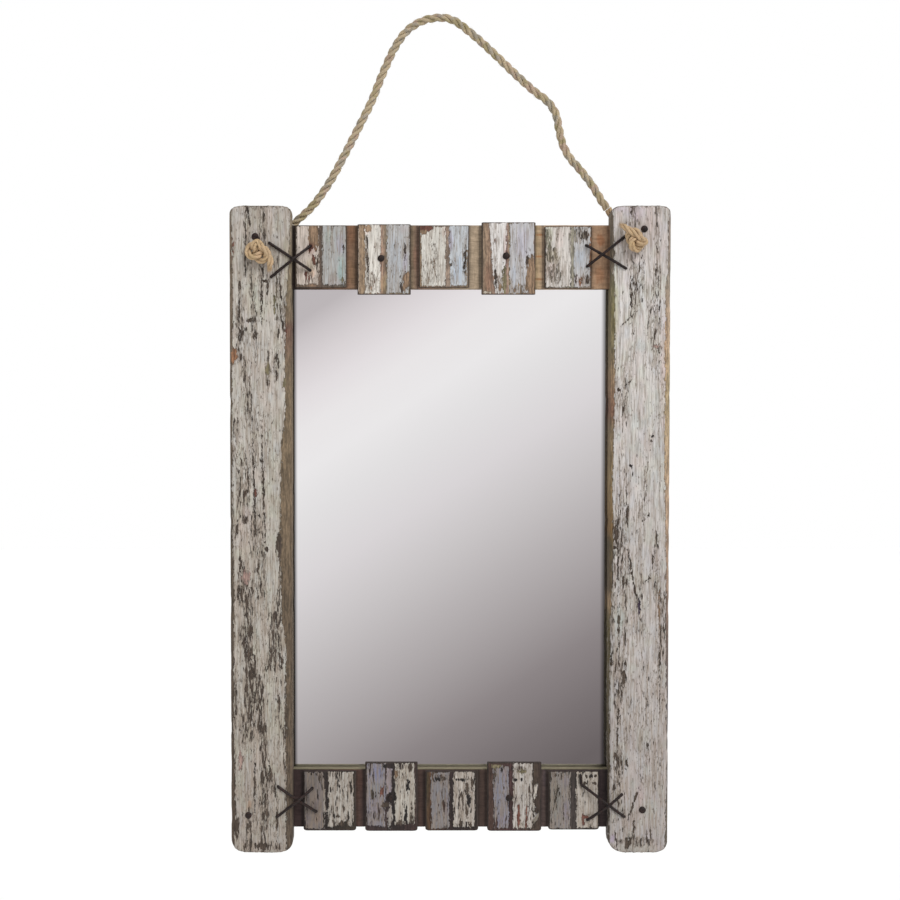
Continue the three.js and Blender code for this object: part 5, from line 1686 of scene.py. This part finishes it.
def add_wires():
    """The eight lacing wires."""
    for index, (corner, letter) in enumerate(itertools.product(CORNERS, "ab")):
        points = wire_path(corner, letter)
        steps = np.linalg.norm(np.diff(points, axis=0), axis=1)
        path = softened(points[np.append(True, steps > 0.01)], WIRE_STEP, WIRE_BEND / 2)
        node = f"lacing_wire_{corner}_{letter}"
        stand_in(node, "rusted", rusty_rod(path, 700 + index), IRON)


add_wires()


def turned_shell(profile, middle, columns, relief):
    """A shape turned about the Y axis from (radius, y) points, which run from its back to its front. relief
    moves its points before the shape is put in its place."""
    angle = np.arange(columns) * 2 * math.pi / columns
    radius, y = np.array(profile, float).T[..., None]
    points = np.stack(np.broadcast_arrays(radius * np.cos(angle), y, radius * np.sin(angle)), -1)
    return turned_inside_out(closed_tube(relief(points) + np.array(middle)))


def dome(radius, height, rings):
    """The half section of a domed head from its rim to its top: a quarter ellipse."""
    angle = np.linspace(0, math.pi / 2, rings, endpoint=False)
    return [(radius * math.cos(a), height * math.sin(a) ** 0.8) for a in angle] + [(0.15, height)]


NAIL_HEAD_RADIUS = 3.2
NAIL_HEAD_HEIGHT = 1.3
NAIL_SHANK_RADIUS = 1.5
NAIL_POINT = 3
NAIL_SINK = 0.8  # of the head's rim into the worn surface


def add_nail(node, seed):
    """A nail: a dented, hammered head over a plain shank with a point."""
    low, high = box_mm(node)
    front, length = low[1] + NAIL_HEAD_HEIGHT, high[1] - low[1] - NAIL_HEAD_HEIGHT
    middle = [(low[0] + high[0]) / 2, front, (low[2] + high[2]) / 2]
    shank = [(0.15, length), (NAIL_SHANK_RADIUS, length - NAIL_POINT), (NAIL_SHANK_RADIUS, 1.0)]
    head = [(NAIL_HEAD_RADIUS * 0.94, NAIL_SINK)]
    head += [(radius, -height) for radius, height in dome(NAIL_HEAD_RADIUS, NAIL_HEAD_HEIGHT, 9)]

    def dented(points):
        blow = rough_noise(points + seed * 31.0, (2.4, 2.4, 2.4), 720 + seed, 3) - 0.5
        in_head = (points[..., 1] < 0.5)[..., None]
        out = points / np.maximum(np.linalg.norm(points, axis=-1, keepdims=True), 0.3)
        return points + in_head * out * np.array([0.9, 0.5, 0.9]) * np.minimum(blow, 0.12)[..., None]

    stand_in(node, "hammered", turned_shell(shank + head, middle, 40, dented), IRON)


NAILS = [f"post_nail_{corner}" for corner in CORNERS]
NAILS += [f"slat_nail_{row}_{index}" for row in RAILS for index in (2, 4)]
for number, nail in enumerate(NAILS):
    add_nail(nail, number)


CROSS_RADIUS = 2.3
CROSS_HALF_WIDTH = 0.5
CROSS_DEPTH = 1.1
SCREW_HEAD_HEIGHT = {"batten": 2.0, "button": 1.4}  # countersunk and domed
SCREW_POINT = 3
SCREW_RADIUS = {"batten": 1.7, "button": 2.0}


def crossed(points):
    """The four-armed recess of a screw's head: two slots that fall towards the middle."""
    x, z = np.abs(points[..., 0]), np.abs(points[..., 2])
    slot = np.minimum(x, z) < CROSS_HALF_WIDTH
    reach = np.clip(1 - np.maximum(x, z) / CROSS_RADIUS, 0, 1)
    on_top = points[..., 1] > -0.9
    sunk = points.copy()
    sunk[..., 1] -= np.where(slot & on_top, CROSS_DEPTH * np.sqrt(reach), 0)
    return sunk


def add_screw(node, kind):
    """A screw with a crossed head: a flat one over a cone in the battens, a domed one in the buttons."""
    low, high = box_mm(node)
    length, head = high[1] - low[1], (high[0] - low[0]) / 2
    shank, height = SCREW_RADIUS[kind], SCREW_HEAD_HEIGHT[kind]
    profile = [(0.1, -length), (shank, SCREW_POINT - length), (shank, -height)]
    if kind == "batten":
        profile += [(head, -0.1)] + [(head * share, 0.0) for share in np.linspace(0.98, 0.06, 14)]
    else:
        angles = np.linspace(0, math.pi / 2, 14, endpoint=False)
        profile += [(head * math.cos(a), height * (math.sin(a) - 1)) for a in angles] + [(0.1, 0.0)]
    middle = [(low[0] + high[0]) / 2, high[1], (low[2] + high[2]) / 2]
    stand_in(node, "crossed", turned_shell(profile, middle, 64, crossed), ZINC)


def add_screws():
    """Countersunk screws in the battens, and the domed screws that the turn buttons swing on."""
    for row in ("upper", "lower"):
        for where in BATTEN_SCREWS:
            add_screw(f"batten_screw_{row}_{where}", "batten")
        for side in SIDES:
            add_screw(f"button_screw_{row}_{side}", "button")


add_screws()

BUTTON_EYE_RADIUS = 2.3
BUTTON_EDGE = 0.35
BUTTON_COLUMNS = 96


def button_rings(thickness):
    """The rings of a button, from its eye's edge over its front to its outline and back behind: the share of
    the way from the eye to the outline, and the depth."""
    front = [(0.0, BUTTON_EDGE), (0.03, 0), (0.5, 0), (0.955, 0), (1.0, BUTTON_EDGE)]
    return front + [(share, thickness - depth) for share, depth in reversed(front)]


def add_turn_buttons():
    """The turn buttons: stadium-shaped plates with rounded edges and an eye."""
    angle = np.arange(BUTTON_COLUMNS) * 2 * math.pi / BUTTON_COLUMNS
    eye = np.stack([np.cos(angle), np.sin(angle)], -1) * BUTTON_EYE_RADIUS
    for row, side in itertools.product(("upper", "lower"), SIDES):
        low, high = box_mm(f"turn_button_{row}_{side}")
        pivot = sum(box_mm(f"button_screw_{row}_{side}")) / 2
        half = (high[0] - low[0]) / 2
        top, bottom = high[2] - half - pivot[2], low[2] + half - pivot[2]
        outline = np.stack([half * np.cos(angle), half * np.sin(angle)], -1)
        outline[:, 1] += np.where(np.sin(angle) >= 0, top, bottom)
        rings = button_rings(high[1] - low[1])
        share, deep = np.array(rings, float).T[..., None]
        flat = eye + (outline - eye) * share[..., None]
        grid = np.stack([flat[..., 0], np.broadcast_to(deep, flat.shape[:2]), flat[..., 1]], -1)
        grid = grid + np.array([pivot[0], low[1], pivot[2]])
        shell = {
            "points": grid.reshape(-1, 3),
            "quads": grid_faces(len(rings), BUTTON_COLUMNS, wrap_rows=True),
            "triangles": np.zeros((0, 3), int),
            "values": {},
        }
        stand_in(f"turn_button_{row}_{side}", "pressed", shell, ZINC, f"{row}_{side}_button")


add_turn_buttons()


# ---------- floor and light

FLOOR_HEIGHT = -1.6
FLOOR_SIZE = 24
FLOOR_GLOW = 0.17
CARD_PLACE = -2.2  # along Y, behind the camera
CARD_HALF_WIDTH = 4.0
CARD_LOW, CARD_HIGH = -4.0, 3.0
CARD_LEAN = 0.65
CARD_STRENGTH = 1.03
# The tones of the card: where they lie across its slanted fall, in metres, and their colours.
CARD_TONES = [
    (0.075, (189, 183, 185)), (0.117, (204, 198, 200)), (0.170, (217, 211, 213)), (0.235, (228, 223, 225)),
    (0.300, (234, 231, 232)), (0.385, (235, 233, 234)), (0.478, (227, 225, 226)), (0.610, (218, 214, 216)),
    (0.735, (202, 198, 199)), (0.858, (184, 179, 180)), (0.981, (165, 159, 160)), (1.104, (141, 134, 135)),
    (1.228, (122, 115, 116)), (1.341, (106, 99, 100)),
]
KEY_FROM = (0.62, -1.0, 0.85)
KEY_STRENGTH = 1.35
KEY_SOFTNESS = 24  # degrees across
ROOM_LIGHT = 0.66


def flat_sheet(name, corners):
    """A flat four-cornered surface, in metres."""
    mesh = bpy.data.meshes.new(name)
    mesh.from_pydata(corners, [], [(0, 1, 2, 3)])
    sheet = bpy.data.objects.new(name, mesh)
    bpy.context.scene.collection.objects.link(sheet)
    return sheet


def add_floor():
    """A plain pale floor under the hanging mirror. The camera sees it as white as the room, but for the
    shadow that it takes from the light."""
    half = FLOOR_SIZE / 2
    corners = [(-half, -half), (half, -half), (half, half), (-half, half)]
    floor = flat_sheet("floor", [(x, y, FLOOR_HEIGHT) for x, y in corners])
    finish = Finish("pale_floor", base_color=tone(246, 246, 245), roughness=0.9)
    rays = finish.node("ShaderNodeLightPath").outputs
    seen = finish.sum(rays["Is Camera Ray"], rays["Is Glossy Ray"], "MAXIMUM")
    finish.tree.links.new(finish.times(seen, FLOOR_GLOW), finish.shader.inputs["Emission Strength"])
    finish.shader.inputs["Emission Color"].default_value = (1, 1, 1, 1)
    floor.data.materials.append(finish.material)


def add_card():
    """What the glass shows: a card behind the camera that only reflections see, white on the left and
    falling to a warm grey at its lower right."""
    corners = [(-CARD_HALF_WIDTH, CARD_LOW), (CARD_HALF_WIDTH, CARD_LOW)]
    corners += [(CARD_HALF_WIDTH, CARD_HIGH), (-CARD_HALF_WIDTH, CARD_HIGH)]
    card = flat_sheet("reflected_card", [(x, CARD_PLACE, z) for x, z in corners])
    finish = Finish("card")
    coordinates = finish.node("ShaderNodeTexCoord").outputs["Object"]
    parts = finish.node("ShaderNodeSeparateXYZ", {"Vector": coordinates}).outputs
    fall = finish.sum(finish.times(parts["X"], CARD_LEAN), parts["Z"], "SUBTRACT")
    first, last = CARD_TONES[0][0], CARD_TONES[-1][0]
    share = finish.node("ShaderNodeMapRange", {"Value": fall, "From Min": first, "From Max": last})
    ramp = finish.node("ShaderNodeValToRGB", {"Fac": share.outputs["Result"]})
    stops = ramp.color_ramp.elements
    for place, colour in CARD_TONES[1:-1]:
        stops.new((place - first) / (last - first)).color = tone(*colour)
    stops[0].color = tone(*CARD_TONES[0][1])
    stops[-1].color = tone(*CARD_TONES[-1][1])
    glow = finish.node("ShaderNodeEmission", {"Color": ramp.outputs["Color"], "Strength": CARD_STRENGTH})
    finish.tree.links.new(glow.outputs["Emission"], finish.tree.nodes["Material Output"].inputs["Surface"])
    card.data.materials.append(finish.material)
    for ray in ("camera", "diffuse", "shadow", "transmission"):
        setattr(card, f"visible_{ray}", False)


def add_light():
    """A soft key from the upper right and an even room, which the camera and reflections see as white."""
    lamp = bpy.data.lights.new("key", "SUN")
    lamp.energy = KEY_STRENGTH
    lamp.angle = math.radians(KEY_SOFTNESS)
    key = bpy.data.objects.new("key", lamp)
    bpy.context.scene.collection.objects.link(key)
    key.rotation_euler = Vector(KEY_FROM).to_track_quat("Z", "Y").to_euler()

    world = bpy.data.worlds.new("room")
    bpy.context.scene.world = world
    room = Wiring(world)
    rays = room.node("ShaderNodeLightPath").outputs
    seen = room.sum(rays["Is Camera Ray"], rays["Is Glossy Ray"], "MAXIMUM")
    seen = room.sum(seen, rays["Is Transmission Ray"], "MAXIMUM")
    strength = room.node("ShaderNodeMapRange", {"Value": seen, "To Min": ROOM_LIGHT}).outputs["Result"]
    background = room.tree.nodes["Background"]
    room.tree.links.new(strength, background.inputs["Strength"])
    background.inputs["Color"].default_value = (1, 1, 1, 1)


add_floor()
add_card()
add_light()
bpy.context.scene.view_settings.view_transform = "Standard"
